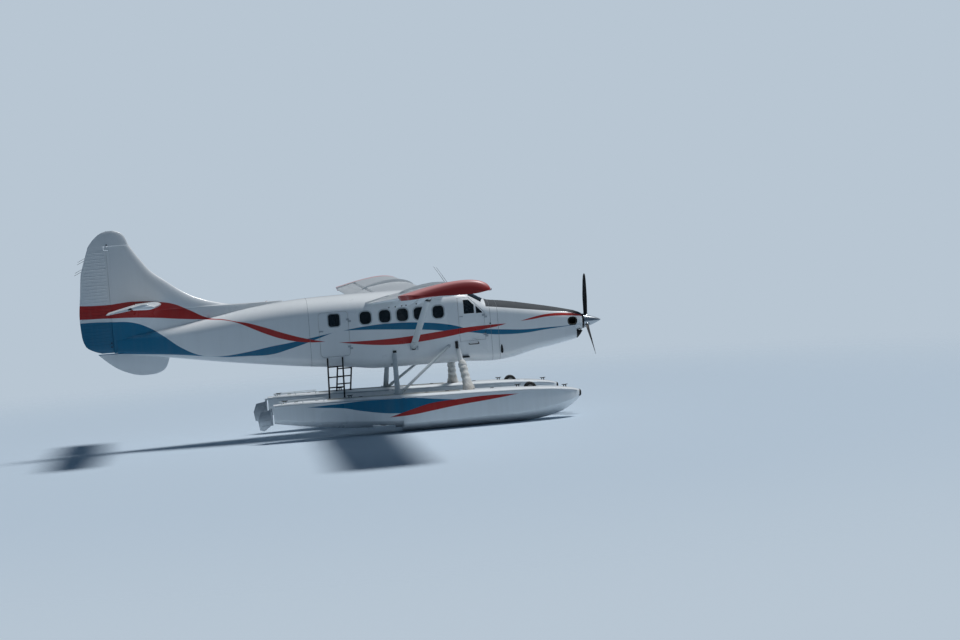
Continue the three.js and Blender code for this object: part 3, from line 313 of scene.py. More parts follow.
def tie(shader, **sockets):
    """Links patterns to the shader's sockets."""
    for key, value in sockets.items():
        if isinstance(value, bpy.types.Node):
            value = value.outputs[0]
        shader.id_data.links.new(value, shader.inputs[key.replace("_", " ")])


def patches(tree, place, scale, detail, low, high, least, most):
    """A mask of soft patches, each about 1/scale metres across, from least to most."""
    noise = add(tree, "ShaderNodeTexNoise", place, named={"Scale": scale, "Detail": detail})
    return add(tree, "ShaderNodeMapRange", noise, low, high, least, most)


def weathered(tree, shader, place, colour, dirt="#9c9a90", amount=0.07, peel=0.06):
    """Brushed-on shade, run-off streaks and the faint orange peel of sprayed enamel, over any colour."""
    cloud = add(tree, "ShaderNodeTexNoise", place, named={"Scale": 0.9, "Detail": 4.0})
    long = add(tree, "ShaderNodeMapping", place, named={"Scale": (9.0, 9.0, 0.7)})
    streak = add(tree, "ShaderNodeTexNoise", long, named={"Scale": 1.0, "Detail": 5.0})
    both = add(tree, "ShaderNodeMath", cloud, streak, operation="MULTIPLY")
    mask = add(tree, "ShaderNodeMapRange", both, 0.2, 0.5, 0.0, amount)
    grain = add(tree, "ShaderNodeTexNoise", place, named={"Scale": 60.0, "Detail": 2.0})
    tie(shader, Base_Color=painted(tree, colour, [(mask, dirt)]),
        Roughness=add(tree, "ShaderNodeMapRange", cloud, 0.3, 0.7, 0.24, 0.4),
        Normal=add(tree, "ShaderNodeBump", named={"Strength": peel, "Distance": 0.002, "Height": grain}))


def painted(tree, base, layers):
    """Colour layers in order over a base, each a mask with its colour."""
    last = base
    for mask, colour in layers:
        mix = add(tree, "ShaderNodeMix", mask, data_type="RGBA")
        if isinstance(last, str):
            mix.inputs[6].default_value = hexed(last)
        else:
            tree.links.new(last, mix.inputs[6])
        mix.inputs[7].default_value = hexed(colour)
        last = mix.outputs[2]
    return last


float_y, keel_half = 1.5, 0.018
# Sprayed marine enamel over zinc-primed sheet: a hard gloss that dulls in patches. The deck has a grey
# grit walkway between the struts, and the flashes run along the outer sides.
float_enamel, tree, shader, place = surface("float_enamel", white, 0.3, Coat_Weight=0.25, Coat_Roughness=0.12)
blue_flash = [(-1.25, 0.80, 0.80), (-0.9, 0.815, 0.765), (-0.31, 0.834, 0.70), (0.02, 0.849, 0.62),
              (0.8, 0.852, 0.49), (1.34, 0.824, 0.48), (1.88, 0.753, 0.55), (2.37, 0.695, 0.64),
              (2.65, 0.67, 0.67)]
red_flash = [(0.7, 0.40, 0.40), (1.3, 0.56, 0.42), (1.72, 0.658, 0.47), (2.37, 0.70, 0.55),
             (3.06, 0.728, 0.61), (3.44, 0.722, 0.647), (3.91, 0.702, 0.702)]
split = add(tree, "ShaderNodeSeparateXYZ", place)
across = add(tree, "ShaderNodeMath", split.outputs["Y"], operation="ABSOLUTE")
off = add(tree, "ShaderNodeMath", across, float_y, operation="SUBTRACT")
inward = add(tree, "ShaderNodeMath", off, operation="ABSOLUTE")
walk = add(tree, "ShaderNodeMapRange", inward, 0.235, 0.225)
# The walkway's other edges: along which axis, where the grit ends, where it is whole
for axis, end, whole in (("X", 2.52, 2.5), ("X", -0.72, -0.7), ("Z", 0.83, 0.84)):
    edge = add(tree, "ShaderNodeMapRange", split.outputs[axis], end, whole)
    walk = add(tree, "ShaderNodeMath", walk, edge, operation="MULTIPLY")
outside = add(tree, "ShaderNodeMapRange", across, float_y + 0.05, float_y + 0.06)
flashes = [(add(tree, "ShaderNodeMath", stripe(tree, place, rows), outside, operation="MULTIPLY"), colour)
           for rows, colour in ((blue_flash, stripe_blue), (red_flash, stripe_red))]
coats = painted(tree, white, [*flashes, (walk, "#9b9a92")])
weathered(tree, shader, place, coats, dirt="#8d8775", amount=0.12)

# Columns: station, half beam, keel, chine, deck edge, deck crown
fore_body = [(1.05, 0.478, 0, 0.225, 0.868, 0.908), (3.8, 0.468, 0, 0.245, 0.805, 0.845),
             (4.4, 0.425, 0.03, 0.29, 0.778, 0.815), (4.9, 0.345, 0.13, 0.37, 0.735, 0.77),
             (5.25, 0.235, 0.3, 0.455, 0.68, 0.71), (5.45, 0.095, 0.47, 0.545, 0.625, 0.645)]
after_body = [(-2.0, 0.165, 0.455, 0.56, 0.89, 0.91), (-1.5, 0.25, 0.37, 0.5, 0.905, 0.932),
              (-0.4, 0.395, 0.22, 0.395, 0.895, 0.93), (1.09, 0.47, 0.105, 0.3, 0.868, 0.908)]
fore_rows, after_rows = fair(fore_body, 0.12), fair(after_body, 0.2)


def hull_ring(x, half, keel, chine, edge, crown):
    camber = crown - edge
    side = [(keel_half, keel), (half * 0.55, keel + (chine - keel) * 0.52), (half, chine),
            (half, chine + 0.04), (half * 0.975, edge - 0.025), (half * 0.955, edge),
            (half * 0.72, edge + camber * 0.72), (half * 0.4, edge + camber * 0.93), (half * 0.15, crown)]
    return [(x, float_y + y, z) for y, z in side] + [(x, float_y - y, z) for y, z in reversed(side)]


def hull():
    return carve(skin([hull_ring(*r) for r in fore_rows]), skin([hull_ring(*r) for r in after_rows]), "UNION")


def deck_at(x, share=0.0):
    """Height of the float's deck at a station, share 0 on its crown and 1 at its edge."""
    rows = fore_rows if x > 1.05 else after_rows
    edge, crown = (np.interp(x, rows[:, 0], rows[:, k]) for k in (4, 5))
    return float(crown + (edge - crown) * share)


def beam_at(x):
    rows = fore_rows if x > 1.05 else after_rows
    return float(np.interp(x, rows[:, 0], rows[:, 1]))


nose_axle, main_axle = (4.24, 0.78), (0.61, 0.44)
nose_well = box(nose_axle[0] - 0.185, nose_axle[0] + 0.185, float_y - 0.092, float_y + 0.092, 0.6, 1.2)
main_well = box(main_axle[0] - 0.28, main_axle[0] + 0.28, float_y - 0.185, float_y + 0.185, -0.05, 0.715)
float_hull = carve(carve(hull(), nose_well), main_well)
# The main wheels' leg stands in its well, and the water rudder hangs on a lug behind the stern
leg = box(main_axle[0] - 0.045, main_axle[0] + 0.045, float_y - 0.018, float_y + 0.018, 0.39, 0.72)
hanger = box(-2.085, -1.9, float_y - 0.03, float_y + 0.03, 0.83, 0.87)
float_hull = gathered([softened(float_hull, 0.006, 2, 50), softened(leg, 0.006), softened(hanger, 0.006)])
hull_block = hull()

# Drawn alloy sections, dull and scuffed where ropes and boots rub them, in patches of 70 mm
alloy, tree, shader, place = surface("scuffed_alloy", "#b9bfc4", 0.42, 1.0)
tie(shader, Roughness=patches(tree, place, 14.0, 6.0, 0.3, 0.75, 0.28, 0.62))
# Satin black stove enamel, chipped to grey in spots of 30 mm
black, tree, shader, place = surface("satin_black_enamel", "#111214", 0.55)
chips = patches(tree, place, 35.0, 6.0, 0.62, 0.78, 0.0, 0.5)
tie(shader, Base_Color=painted(tree, "#111214", [(chips, "#4a4b4c")]))
# Moulded black rubber, matt, greyed by salt in patches of 45 mm
rubber, tree, shader, place = surface("black_rubber", "#1d1e20", 0.78)
salt = patches(tree, place, 22.0, 5.0, 0.45, 0.8, 0.0, 0.35)
tie(shader, Base_Color=painted(tree, "#1d1e20", [(salt, "#5b5c5a")]))


def rub_strips():
    strips = []
    for rows, ends in ((fore_rows, (1.12, 5.36)), (after_rows, (-1.97, 1.04))):
        stations = np.linspace(*ends, 30)
        for side in (-1, 1):
            path = [(x, float_y + side * beam_at(x) * 0.978, deck_at(x, 1) - 0.024) for x in stations]
            strips.append(tube(path, 0.013, 8))
    return gathered(strips)


def cleat(x):
    """A cast horn cleat on two feet."""
    z = deck_at(x)
    horns = tube([(x + u * 0.075, float_y, z + 0.045 + 0.012 * abs(u)) for u in np.linspace(-1, 1, 9)],
                 [0.006, 0.009, 0.011, 0.012, 0.012, 0.012, 0.011, 0.009, 0.006], 10)
    feet = [tube([(x + u, float_y, z - 0.004), (x + u * 0.8, float_y, z + 0.045)], [0.014, 0.010], 10)
            for u in (-0.03, 0.03)]
    return gathered([horns, *feet])


def deck_cap(x, radius=0.05):
    """A round pump-out cap, low and domed."""
    z = deck_at(x)
    profile = ((radius, -0.01), (radius, 0.004), (radius * 0.9, 0.009), (radius * 0.3, 0.012), (0.004, 0.012))
    return skin([[(x + r * cos(t), float_y + 0.01 + r * sin(t), z + h) for t in full_turn(23)]
                 for r, h in profile])


def bow_bumper():
    """A soft rubber block that wraps the bow."""
    # Columns: station, half width, lower and upper edge
    rows = [(5.40, 0.110, 0.50, 0.648), (5.44, 0.108, 0.475, 0.652), (5.475, 0.085, 0.49, 0.640),
            (5.49, 0.05, 0.52, 0.62)]
    rings = []
    for x, half, low, high in rows:
        middle, tall_half = (low + high) / 2, (high - low) / 2
        rings.append([(x, float_y + half * copysign(abs(cos(t)) ** 0.6, cos(t)),
                       middle + tall_half * copysign(abs(sin(t)) ** 0.6, sin(t)))
                      for t in full_turn(27)])
    return skin(rings)


cleats_at, caps_at = (5.1, 3.94, -0.15, -1.72), (3.3, 2.2, 1.7, 0.1, -0.95, -1.45)
for side in ("left", "right"):
    parts = [
        (copy_of(float_hull), "hull", float_enamel, "white_enamel", [f"float_{side}"]),
        (rub_strips(), "rub_strips", alloy, "bare_alloy", ()),
        (gathered([cleat(x) for x in cleats_at]), "cleats", black, "bare_alloy", ()),
        (gathered([deck_cap(x) for x in caps_at]), "pump_caps", rubber, "tyre", ()),
        (bow_bumper(), "bow_bumper", rubber, "tyre", ()),
    ]
    for piece, label, material, slot, stands_for in parts:
        fitted(on_side(piece, side), f"float_{label}_{side}", material, stands_for)
bpy.data.objects.remove(float_hull)

# Wheels
# Small aircraft tyres on cast rims: one half sunk in each bow deck, and a pair in the well behind each step.
# Each wheel is one turned profile, grooved round the tread, with a rim of its own.


def lathe(profile, centre, axis="y", sides=56):
    """A turned shape from (radius, offset along the axis) pairs; the first and last lie on the axis."""
    rings = []
    for radius, offset in profile:
        radius = max(radius, 0.0008)
        ring = []
        for t in full_turn(sides):
            u, v = radius * cos(t), radius * sin(t)
            spot = {"y": (u, offset, v), "x": (offset, u, v), "z": (u, v, offset)}[axis]
            ring.append([a + b for a, b in zip(centre, spot)])
        rings.append(ring)
    return skin(rings)


def tyre_profile(radius, width, grooves=3):
    half = width / 2
    tread = half * 0.52
    profile = [(radius * 0.50, -half * 0.70), (radius * 0.56, -half * 0.86), (radius * 0.72, -half),
               (radius * 0.88, -half * 0.90), (radius * 0.97, -tread * 1.15)]
    step = 2 * tread / grooves
    for k in range(grooves):
        middle = -tread + step * (k + 0.5)
        profile += [(radius, middle - step * 0.36), (radius * 0.965, middle - step * 0.13),
                    (radius * 0.965, middle + step * 0.13), (radius, middle + step * 0.36)]
    profile += [(r, -w) for r, w in profile[4::-1]]
    return [(radius * 0.44, -half * 0.6), *profile, (radius * 0.44, half * 0.6)]


def ring_skin(sections):
    """A closed skin over sections that go round and meet their first one again."""
    sections = np.array(sections)
    index = np.arange(sections.shape[0] * sections.shape[1]).reshape(sections.shape[:2])
    near, far = index, np.roll(index, -1, axis=0)
    quads = np.stack([near, far, np.roll(far, -1, axis=1), np.roll(near, -1, axis=1)], axis=-1).reshape(-1, 4)
    return mesh_of(sections.reshape(-1, 3), quads)


def ring_lathe(profile, centre, sides=56, axis="y"):
    """A turned ring whose profile of (radius, offset) pairs closes on itself."""
    rings = []
    for t in full_turn(sides):
        rings.append([])
        for r, w in profile:
            u, v = r * cos(t), r * sin(t)
            spot = (u, w, v) if axis == "y" else (w, u, v)
            rings[-1].append(tuple(a + b for a, b in zip(centre, spot)))
    return ring_skin(rings)


# Cast magnesium rim, painted grey, with a satin sheen and brake dust in patches of 30 mm
rim_paint, tree, shader, place = surface("grey_rim_paint", "#b6babc", 0.45, 0.2)
dust = patches(tree, place, 30.0, 4.0, 0.4, 0.75, 0.0, 0.4)
tie(shader, Base_Color=painted(tree, "#b6babc", [(dust, "#77746d")]))


def rim(radius, width, centre, bolt_count=6):
    half = width / 2
    profile = [(0, -half * 0.34), (radius * 0.12, -half * 0.34), (radius * 0.14, -half * 0.2),
               (radius * 0.36, -half * 0.30), (radius * 0.43, -half * 0.66), (radius * 0.52, -half * 0.74),
               (radius * 0.53, -half * 0.66), (radius * 0.45, -half * 0.5)]
    profile += [(r, -w) for r, w in reversed(profile)]
    bolts = []
    for side in (-1, 1):
        inner, outer = (centre[1] + side * half * share for share in (0.2, 0.36))
        for t in full_turn(bolt_count):
            x, z = centre[0] + radius * 0.25 * cos(t), centre[2] + radius * 0.25 * sin(t)
            bolts.append(tube([(x, inner, z), (x, outer, z)], radius * 0.032, 6))
    return gathered([lathe(profile, centre), *bolts])


# Columns: name, radius, width, axle, offsets across the float, reach of the axle
wheel_sets = (("nose_wheel", 0.155, 0.12, nose_axle, [0.0], 0.0917),
              ("main_wheels", 0.25, 0.125, main_axle, [-0.088, 0.088], 0.05))
for side in ("left", "right"):
    for label, radius, width, (x, z), offsets, reach in wheel_sets:
        centres = [(x, float_y + o, z) for o in offsets]
        tyres = gathered([ring_lathe(tyre_profile(radius, width), c) for c in centres])
        axle = [*[rim(radius, width, c) for c in centres],
                tube([(x, float_y - reach, z), (x, float_y + reach, z)], 0.021, 16)]
        rims, body = gathered(axle), f"{label}_{side}"
        fitted(on_side(tyres, side), f"{label}_tyre_{side}", rubber, [body], body)
        fitted(on_side(rims, side), f"{label}_rim_{side}", rim_paint, body=body)

# Water rudders
# A bare alloy blade on a post behind each stern, lifted a little clear of the keel line.
rudder_post = -2.055
for side in ("left", "right"):
    outline = [(-2.077, 0.80), (-2.305, 0.76), (-2.385, 0.56), (-2.355, 0.33), (-2.255, 0.30), (-2.077, 0.42)]
    plate = softened(prism(outline, float_y - 0.008, float_y + 0.008), 0.004, 2)
    beads = [tube([(-2.09, float_y + s * 0.008, z), (-2.30, float_y + s * 0.008, z - 0.02)], 0.006, 8)
             for z in (0.68, 0.56, 0.44) for s in (-1, 1)]
    post = tube([(rudder_post, float_y, 0.42), (rudder_post, float_y, 0.829)], 0.024, 20)
    piece, body = on_side(gathered([plate, post, *beads]), side), f"water_rudder_{side}"
    fitted(piece, f"water_rudder_blade_{side}", alloy, [body], body)

# Cabin, tail cone and cowl skins
# One long riveted body: flat sides, a crowned roof and a shallow belly. The three skins are lofted from one
# table of sections, the cabin wall 40 mm thick with its windows and doorways cut through.

# Columns: station, half width, bottom, top, low corner radius, width and height of the top corners
stations = [
    (-5.60, 0.062, 2.400, 2.790, 0.050, 0.055, 0.120), (-4.95, 0.150, 2.285, 2.850, 0.090, 0.130, 0.180),
    (-4.20, 0.285, 2.165, 2.925, 0.130, 0.250, 0.260), (-3.10, 0.480, 1.985, 3.110, 0.180, 0.420, 0.350),
    (-2.19, 0.620, 1.855, 3.255, 0.210, 0.520, 0.400), (-0.95, 0.765, 1.695, 3.362, 0.240, 0.610, 0.430),
    (0.00, 0.800, 1.605, 3.380, 0.250, 0.620, 0.430), (0.70, 0.800, 1.525, 3.380, 0.250, 0.620, 0.430),
    (2.65, 0.800, 1.510, 3.350, 0.250, 0.600, 0.420), (2.93, 0.745, 1.500, 3.290, 0.240, 0.560, 0.400),
    (3.53, 0.610, 1.462, 2.975, 0.220, 0.470, 0.330), (3.95, 0.565, 1.492, 2.915, 0.210, 0.440, 0.330),
    (4.67, 0.480, 1.640, 2.775, 0.190, 0.370, 0.310), (5.29, 0.395, 1.735, 2.640, 0.170, 0.310, 0.280),
    (5.735, 0.315, 1.827, 2.528, 0.140, 0.256, 0.235),
]
snout = [(5.725, 0.310, 2.018, 2.528, 0.185, 0.247, 0.234), (5.87, 0.240, 2.033, 2.473, 0.180, 0.205, 0.205),
         (5.95, 0.185, 2.050, 2.420, 0.170, 0.170, 0.170)]
body_rows = fair(stations, 0.1)
cabin_rear, firewall, tail_post, chin_x, cowl_front = -0.95, 3.53, -5.60, 5.735, 5.95
floor_z, wall, hair = 1.85, 0.04, 0.0003
corner_points = 13


def body_ring(x, half, low, high, low_corner, top_wide, top_tall, inset=0.0):
    """One section across the body, its corners quarter ellipses."""
    w, bottom, top = half - inset, low + inset, high - inset
    r, tw, tt = (max(v - inset, 0.005) for v in (low_corner, top_wide, top_tall))
    corners = ((w - r, bottom + r, r, r, -90), (w - tw, top - tt, tw, tt, 0),
               (tw - w, top - tt, tw, tt, 90), (r - w, bottom + r, r, r, 180))
    return [(x, cy + a * cos(t), cz + b * sin(t)) for cy, cz, a, b, start in corners
            for t in np.radians(np.linspace(start, start + 90, corner_points))]


def section_at(x):
    return [float(np.interp(x, body_rows[:, 0], body_rows[:, k])) for k in range(1, 7)]


def side_y(x, z):
    """Half width of the body at a station and height."""
    half, low, high, corner, wide, tall_top = section_at(x)
    if z > high - tall_top:
        return half - wide + wide * sqrt(max(0.0, 1 - ((z - high + tall_top) / tall_top) ** 2))
    if z < low + corner:
        return half - corner + sqrt(max(0.0, corner**2 - (low + corner - z) ** 2))
    return half


def body_between(x0, x1, inset=0.0, low=None, rows=None):
    """A solid of the body between two stations. With low given, its bottom is a floor at that height."""
    rows = body_rows if rows is None else rows
    picked = [x0, *[x for x in rows[:, 0] if x0 + 0.01 < x < x1 - 0.01], x1]
    rings = []
    for x in picked:
        values = [float(np.interp(x, rows[:, 0], rows[:, k])) for k in range(1, 7)]
        if low is not None:
            values[1], values[3] = low - inset, inset + 0.008
        rings.append(body_ring(x, *values, inset))
    return skin(rings)


def rounded(x0, x1, z0, z1, corner, points=8):
    spots = ((x1 - corner, z1 - corner, 0), (x0 + corner, z1 - corner, 90),
             (x0 + corner, z0 + corner, 180), (x1 - corner, z0 + corner, 270))
    return [(cx + corner * cos(t), cz + corner * sin(t)) for cx, cz, start in spots
            for t in np.radians(np.linspace(start, start + 90, points))]


window_z, window_wide, window_tall, window_corner = 2.785, 0.30, 0.33, 0.075
window_xs, door_window_x = (0.43, 0.905, 1.34, 1.76, 2.225), -0.34


def window_outline(x, grow=0.0):
    return rounded(x - window_wide / 2 - grow, x + window_wide / 2 + grow, window_z - window_tall / 2 - grow,
                   window_z + window_tall / 2 + grow, window_corner + grow)


def side_prism(outline, sign, inner=0.35):
    return prism(outline, *sorted((sign * inner, sign * 0.95)))


cockpit_outline = [(2.715, 2.01), (3.385, 2.01), (3.385, 2.69), (3.01, 3.085), (2.715, 3.085)]


def shrunk(points, by, centre=(2.95, 2.56)):
    return [(x - copysign(by, x - centre[0]), z - copysign(by, z - centre[1])) for x, z in points]


# Port carries the wide cargo door, starboard the passenger door; a cockpit door is on each side
cabin_doors = {1: (-0.74, 0.21, 1.90, 2.99, 0.09), -1: (-0.72, 0.01, 1.90, 2.99, 0.09)}
side_panes = [[(2.85, 2.67), (3.14, 2.67), (3.14, 2.89), (3.005, 3.035), (2.85, 3.035)],
              [(3.165, 2.66), (3.35, 2.66), (3.35, 2.695), (3.165, 2.885)]]
screen_plan = [(3.01, -0.6), (3.06, -0.18), (3.06, 0.18), (3.01, 0.6), (3.33, 0.545), (3.44, 0.18),
               (3.44, -0.18), (3.33, -0.545)]
screen_zs = (2.78, 3.5)

red_ribbon = [(-6.45, 3.613, 3.274), (-5.75, 3.586, 3.25), (-5.17, 3.621, 3.225), (-4.46, 3.558, 3.16),
              (-4.15, 3.485, 3.118), (-3.81, 3.32, 3.08), (-3.34, 3.081, 3.034), (-2.99, 3.024, 2.995),
              (-2.68, 2.946, 2.912), (-2.46, 2.90, 2.81), (-2.02, 2.751, 2.593), (-1.59, 2.583, 2.423),
              (-1.06, 2.405, 2.307), (-0.56, 2.285, 2.285)]
blue_ribbon = [(-6.45, 3.187, 2.35), (-5.65, 3.163, 2.37), (-5.16, 3.11, 2.335), (-4.81, 2.968, 2.305),
               (-4.47, 2.739, 2.275), (-4.05, 2.414, 2.23), (-3.62, 2.2, 2.172), (-3.27, 2.142, 2.130),
               (-3.04, 2.135, 2.10), (-2.51, 2.182, 2.083), (-1.88, 2.278, 2.08), (-1.48, 2.326, 2.167),
               (-1.05, 2.387, 2.283), (-0.36, 2.496, 2.496)]
blue_middle = [(-0.16, 2.514, 2.514), (0.37, 2.578, 2.494), (1.11, 2.604, 2.44), (1.98, 2.54, 2.359),
               (2.55, 2.437, 2.27), (3.06, 2.281, 2.202), (3.44, 2.256, 2.13), (3.85, 2.216, 2.088),
               (4.41, 2.17, 2.078), (4.91, 2.171, 2.116), (5.51, 2.171, 2.152), (5.92, 2.192, 2.179)]
red_middle = [(-0.29, 2.243, 2.243), (0.24, 2.23, 2.151), (0.8, 2.226, 2.084), (1.25, 2.238, 2.066),
              (1.73, 2.266, 2.089), (2.24, 2.306, 2.137), (2.85, 2.346, 2.213), (3.42, 2.36, 2.266),
              (3.77, 2.359, 2.312), (3.95, 2.352, 2.352)]
red_nose = [(4.26, 2.38, 2.38), (4.63, 2.457, 2.40), (4.94, 2.50, 2.432), (5.32, 2.502, 2.428),
            (5.68, 2.47, 2.396), (5.95, 2.428, 2.36)]


# Sprayed white enamel with its flashes; on the nose a matt dark panel stops the sun dazzling the pilots
livery, tree, shader, place = surface("body_enamel", white, 0.3, Coat_Weight=0.3, Coat_Roughness=0.1)
anti_glare = [(3.44, 5.4, 2.812), (3.81, 5.4, 2.759), (4.45, 5.4, 2.661), (5.11, 5.4, 2.56),
              (5.47, 5.4, 2.51), (5.76, 5.4, 2.44), (5.96, 5.4, 2.36)]
split = add(tree, "ShaderNodeSeparateXYZ", place)
start = add(tree, "ShaderNodeMapRange", split.outputs["X"], 3.44, 3.445)
mask = add(tree, "ShaderNodeMath", stripe(tree, place, anti_glare), start, operation="MULTIPLY")
# Black band round the cowl's mouth: black paint on top, painted shade of the spinner gap round the sides
mouth_black_and_shade = add(tree, "ShaderNodeMapRange", split.outputs["X"], 5.915, 5.918)
ribbons = ((blue_ribbon, stripe_blue), (red_ribbon, stripe_red), (blue_middle, stripe_blue),
           (red_middle, stripe_red), (red_nose, stripe_red))
flashes = [(stripe(tree, place, rows), colour) for rows, colour in ribbons]
weathered(tree, shader, place, painted(tree, white, [*flashes, (mask, "#43484d"), (mouth_black_and_shade, "#111214")]))
gloss = shader.inputs["Roughness"].links[0].from_socket
dull = add(tree, "ShaderNodeMath", mask, 0.85, operation="MULTIPLY")
tie(shader, Roughness=add(tree, "ShaderNodeMath", gloss, dull, operation="MAXIMUM"),
    Coat_Weight=add(tree, "ShaderNodeMapRange", mask, 0.0, 1.0, 0.3, 0.0))
# Vinyl-faced lining panels, warm grey, with a 7 mm grain, and a rubber floor with ribs 17 mm apart
lining, tree, shader, place = surface("cabin_lining", "#b8b4a9", 0.7)
grain = add(tree, "ShaderNodeTexNoise", place, named={"Scale": 140.0, "Detail": 2.0})
tie(shader, Normal=add(tree, "ShaderNodeBump", named={"Strength": 0.25, "Distance": 0.002, "Height": grain}))
flooring, tree, shader, place = surface("ribbed_floor_rubber", "#3c3f42", 0.75)
ribs = add(tree, "ShaderNodeTexWave", place, named={"Scale": 18.0}, bands_direction="Y").outputs["Fac"]
tie(shader, Normal=add(tree, "ShaderNodeBump", named={"Strength": 0.6, "Distance": 0.004, "Height": ribs}))

shell_blank = carve(body_between(cabin_rear, firewall),
                    body_between(cabin_rear + wall, firewall - wall, wall, floor_z))


def lined(piece):
    """Lining on the walls and ceiling inside and rubber on the floor, told by the depth under the skin."""
    piece.data.materials.clear()
    for material in (livery, lining, flooring):
        piece.data.materials.append(material)
    for face in piece.data.polygons:
        x, y, z = face.center
        if not cabin_rear + 0.02 < x < firewall - 0.02 or z < floor_z - 0.005:
            continue
        depth, high = side_y(x, z) - abs(y), section_at(x)[2]
        # A ceiling face slopes near the skin, and an outer one beside an opening lies a little under it
        enough = wall * (0.5 if face.normal.z < -0.3 else 0.92)
        if z < floor_z + 0.004 and depth > wall * 0.5:
            face.material_index = 2
        elif high - z > wall * 0.5 and depth > enough:
            face.material_index = 1
    return piece


shell = copy_of(shell_blank)
for sign in (-1, 1):
    for x in window_xs:
        carve(shell, side_prism(window_outline(x), sign))
    carve(shell, side_prism(cockpit_outline, sign))
    carve(shell, side_prism(rounded(*cabin_doors[sign]), sign))
carve(shell, prism(screen_plan, *screen_zs, "z"))
fitted(lined(shell), "cabin_skin", livery, ["cabin_shell"])
body_block = body_between(tail_post, chin_x)

tail = body_between(tail_post, cabin_rear - hair)
carve(tail, body_between(-4.9, cabin_rear + 0.05, 0.03))
fitted(tail, "tail_cone_skin", livery, ["tail_cone"])

# Engine cowl
# Formed alloy panels round the turbine, with a rounded exhaust port in each side and the chin intake below
# the spinner. A black lip guards the mouth of the intake, and a black plate on the nose is painted shade of
# the spinner gap.
thrust_z = 2.235
snout_rows = fair(snout, 0.03)


def along_axle(x0, x1, radius, sides=32):
    return tube([(x0, 0, thrust_z), (x1, 0, thrust_z)], radius, sides)


port_x, port_z, port_half, port_tall, port_corner = 5.644, 2.271, 0.13, 0.106, 0.095


def port_prism(sign, shrink, inner, outer=0.5):
    """The exhaust's rounded port, or what lies inside it."""
    half, high = port_half - shrink, port_tall - shrink
    outline = rounded(port_x - half, port_x + half, port_z - high, port_z + high, port_corner - shrink, 12)
    return prism(outline, *sorted((sign * inner, sign * outer)))


def intake_mouth():
    return box(5.45, 6.0, -0.19, 0.19, 1.87, 1.99)


cowl = body_between(firewall + hair, chin_x)
carve(cowl, body_between(chin_x - 0.01, cowl_front, rows=snout_rows), "UNION")
carve(cowl, body_between(firewall - 0.05, 5.645, 0.022))
carve(cowl, along_axle(5.545, 6.05, 0.08))
carve(cowl, intake_mouth())
for sign in (-1, 1):
    carve(cowl, port_prism(sign, 0.0, 0.1))
fitted(cowl, "engine_cowl_skin", livery, ["engine_cowl"])

lip = prism([(5.7353, 1.830), (5.773, 1.832), (5.905, 2.012), (5.7353, 2.012)], -0.25, 0.25)
carve(lip, skin([body_ring(x, 0.24, 1.828, 2.10, 0.12, 0.04, 0.04) for x in (5.70, 6.0)]), "INTERSECT")
carve(lip, intake_mouth())
carve(lip, body_between(chin_x - 0.01, cowl_front, -0.0005, rows=snout_rows))
fitted(softened(lip, 0.006, 2), "intake_guard", black, ["intake_lip"])
# A black ring on the cowl's front face, as painted shade of the gap behind the spinner
plate = ring_lathe([(0.054, -0.01), (0.178, -0.01), (0.181, 0.0), (0.178, 0.01), (0.054, 0.01)],
                   (cowl_front, 0, thrust_z), 48, "x")
fitted(plate, "nose_shade_plate", black)

# Exhaust stubs of stainless sheet: heat-stained on the rim, soot black inside
burnt, tree, shader, place = surface("sooty_stainless", "#4b443d", 0.5, 0.9)
split = add(tree, "ShaderNodeSeparateXYZ", place)
out = add(tree, "ShaderNodeMath", split.outputs["Y"], operation="ABSOLUTE")
depth = add(tree, "ShaderNodeMapRange", out, 0.295, 0.275)
tint = patches(tree, place, 9.0, 4.0, 0.35, 0.65, 0.0, 1.0)
tie(shader, Base_Color=painted(tree, "#4b443d", [(tint, "#6e6558"), (depth, "#0c0c0d")]))
under_skin = body_between(5.4, chin_x, 0.012)
carve(under_skin, body_between(chin_x - 0.01, cowl_front, 0.012, rows=snout_rows), "UNION")
for side, sign in (("left", 1), ("right", -1)):
    stub = carve(port_prism(sign, 0.02, 0.13), port_prism(sign, 0.038, 0.2))
    stub = softened(carve(stub, under_skin, "INTERSECT", keep=True), 0.004, 2, 50)
    fitted(stub, f"exhaust_stub_{side}", burnt, [f"exhaust_{side}"])
bpy.data.objects.remove(under_skin)

# Engine block: a grey turbine casing, sand cast with an 11 mm grain, seen only through the ports
casing, tree, shader, place = surface("cast_engine_casing", "#77736c", 0.5, 0.8)
sand = add(tree, "ShaderNodeTexNoise", place, named={"Scale": 90.0, "Detail": 3.0})
tie(shader, Normal=add(tree, "ShaderNodeBump", named={"Strength": 0.4, "Distance": 0.003, "Height": sand}))
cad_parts["engine_block"].data.materials.clear()
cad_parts["engine_block"].data.materials.append(casing)

# Spinner and propeller
# A spun aluminium cone over the hub, with tool marks 8 mm apart, and three blades in matt black that twist
# from root to tip, each held in the hub by a polished clamp.
spun, tree, shader, place = surface("spun_aluminium", "#b9bfc4", 0.26, 1.0)
turns = add(tree, "ShaderNodeTexWave", place, named={"Scale": 40.0, "Distortion": 0.4}, bands_direction="X")
tie(shader, Roughness=add(tree, "ShaderNodeMapRange", turns.outputs["Fac"], 0.0, 1.0, 0.2, 0.34))
spinner_back, spinner_long, spinner_radius = 5.972, 0.46, 0.185
profile = [(0, 0), (spinner_radius, 0), (spinner_radius, 0.006)]
profile += [(spinner_radius * (1 - u) ** 0.8, spinner_long * u) for u in np.linspace(0.03, 0.97, 24)]
profile += [(0.010, spinner_long * 0.99), (0, spinner_long)]
cone = lathe(profile, (spinner_back, 0, thrust_z), "x", 72)
prop_x, prop_radius, first_blade = 6.05, 1.21, radians(11)
blade_angles = [first_blade + k * 2 * pi / 3 for k in range(3)]


def out_along(angle, reaches):
    """Points on a blade's axis, at these distances from the hub's centre."""
    return [(prop_x, -r * sin(angle), thrust_z + r * cos(angle)) for r in reaches]


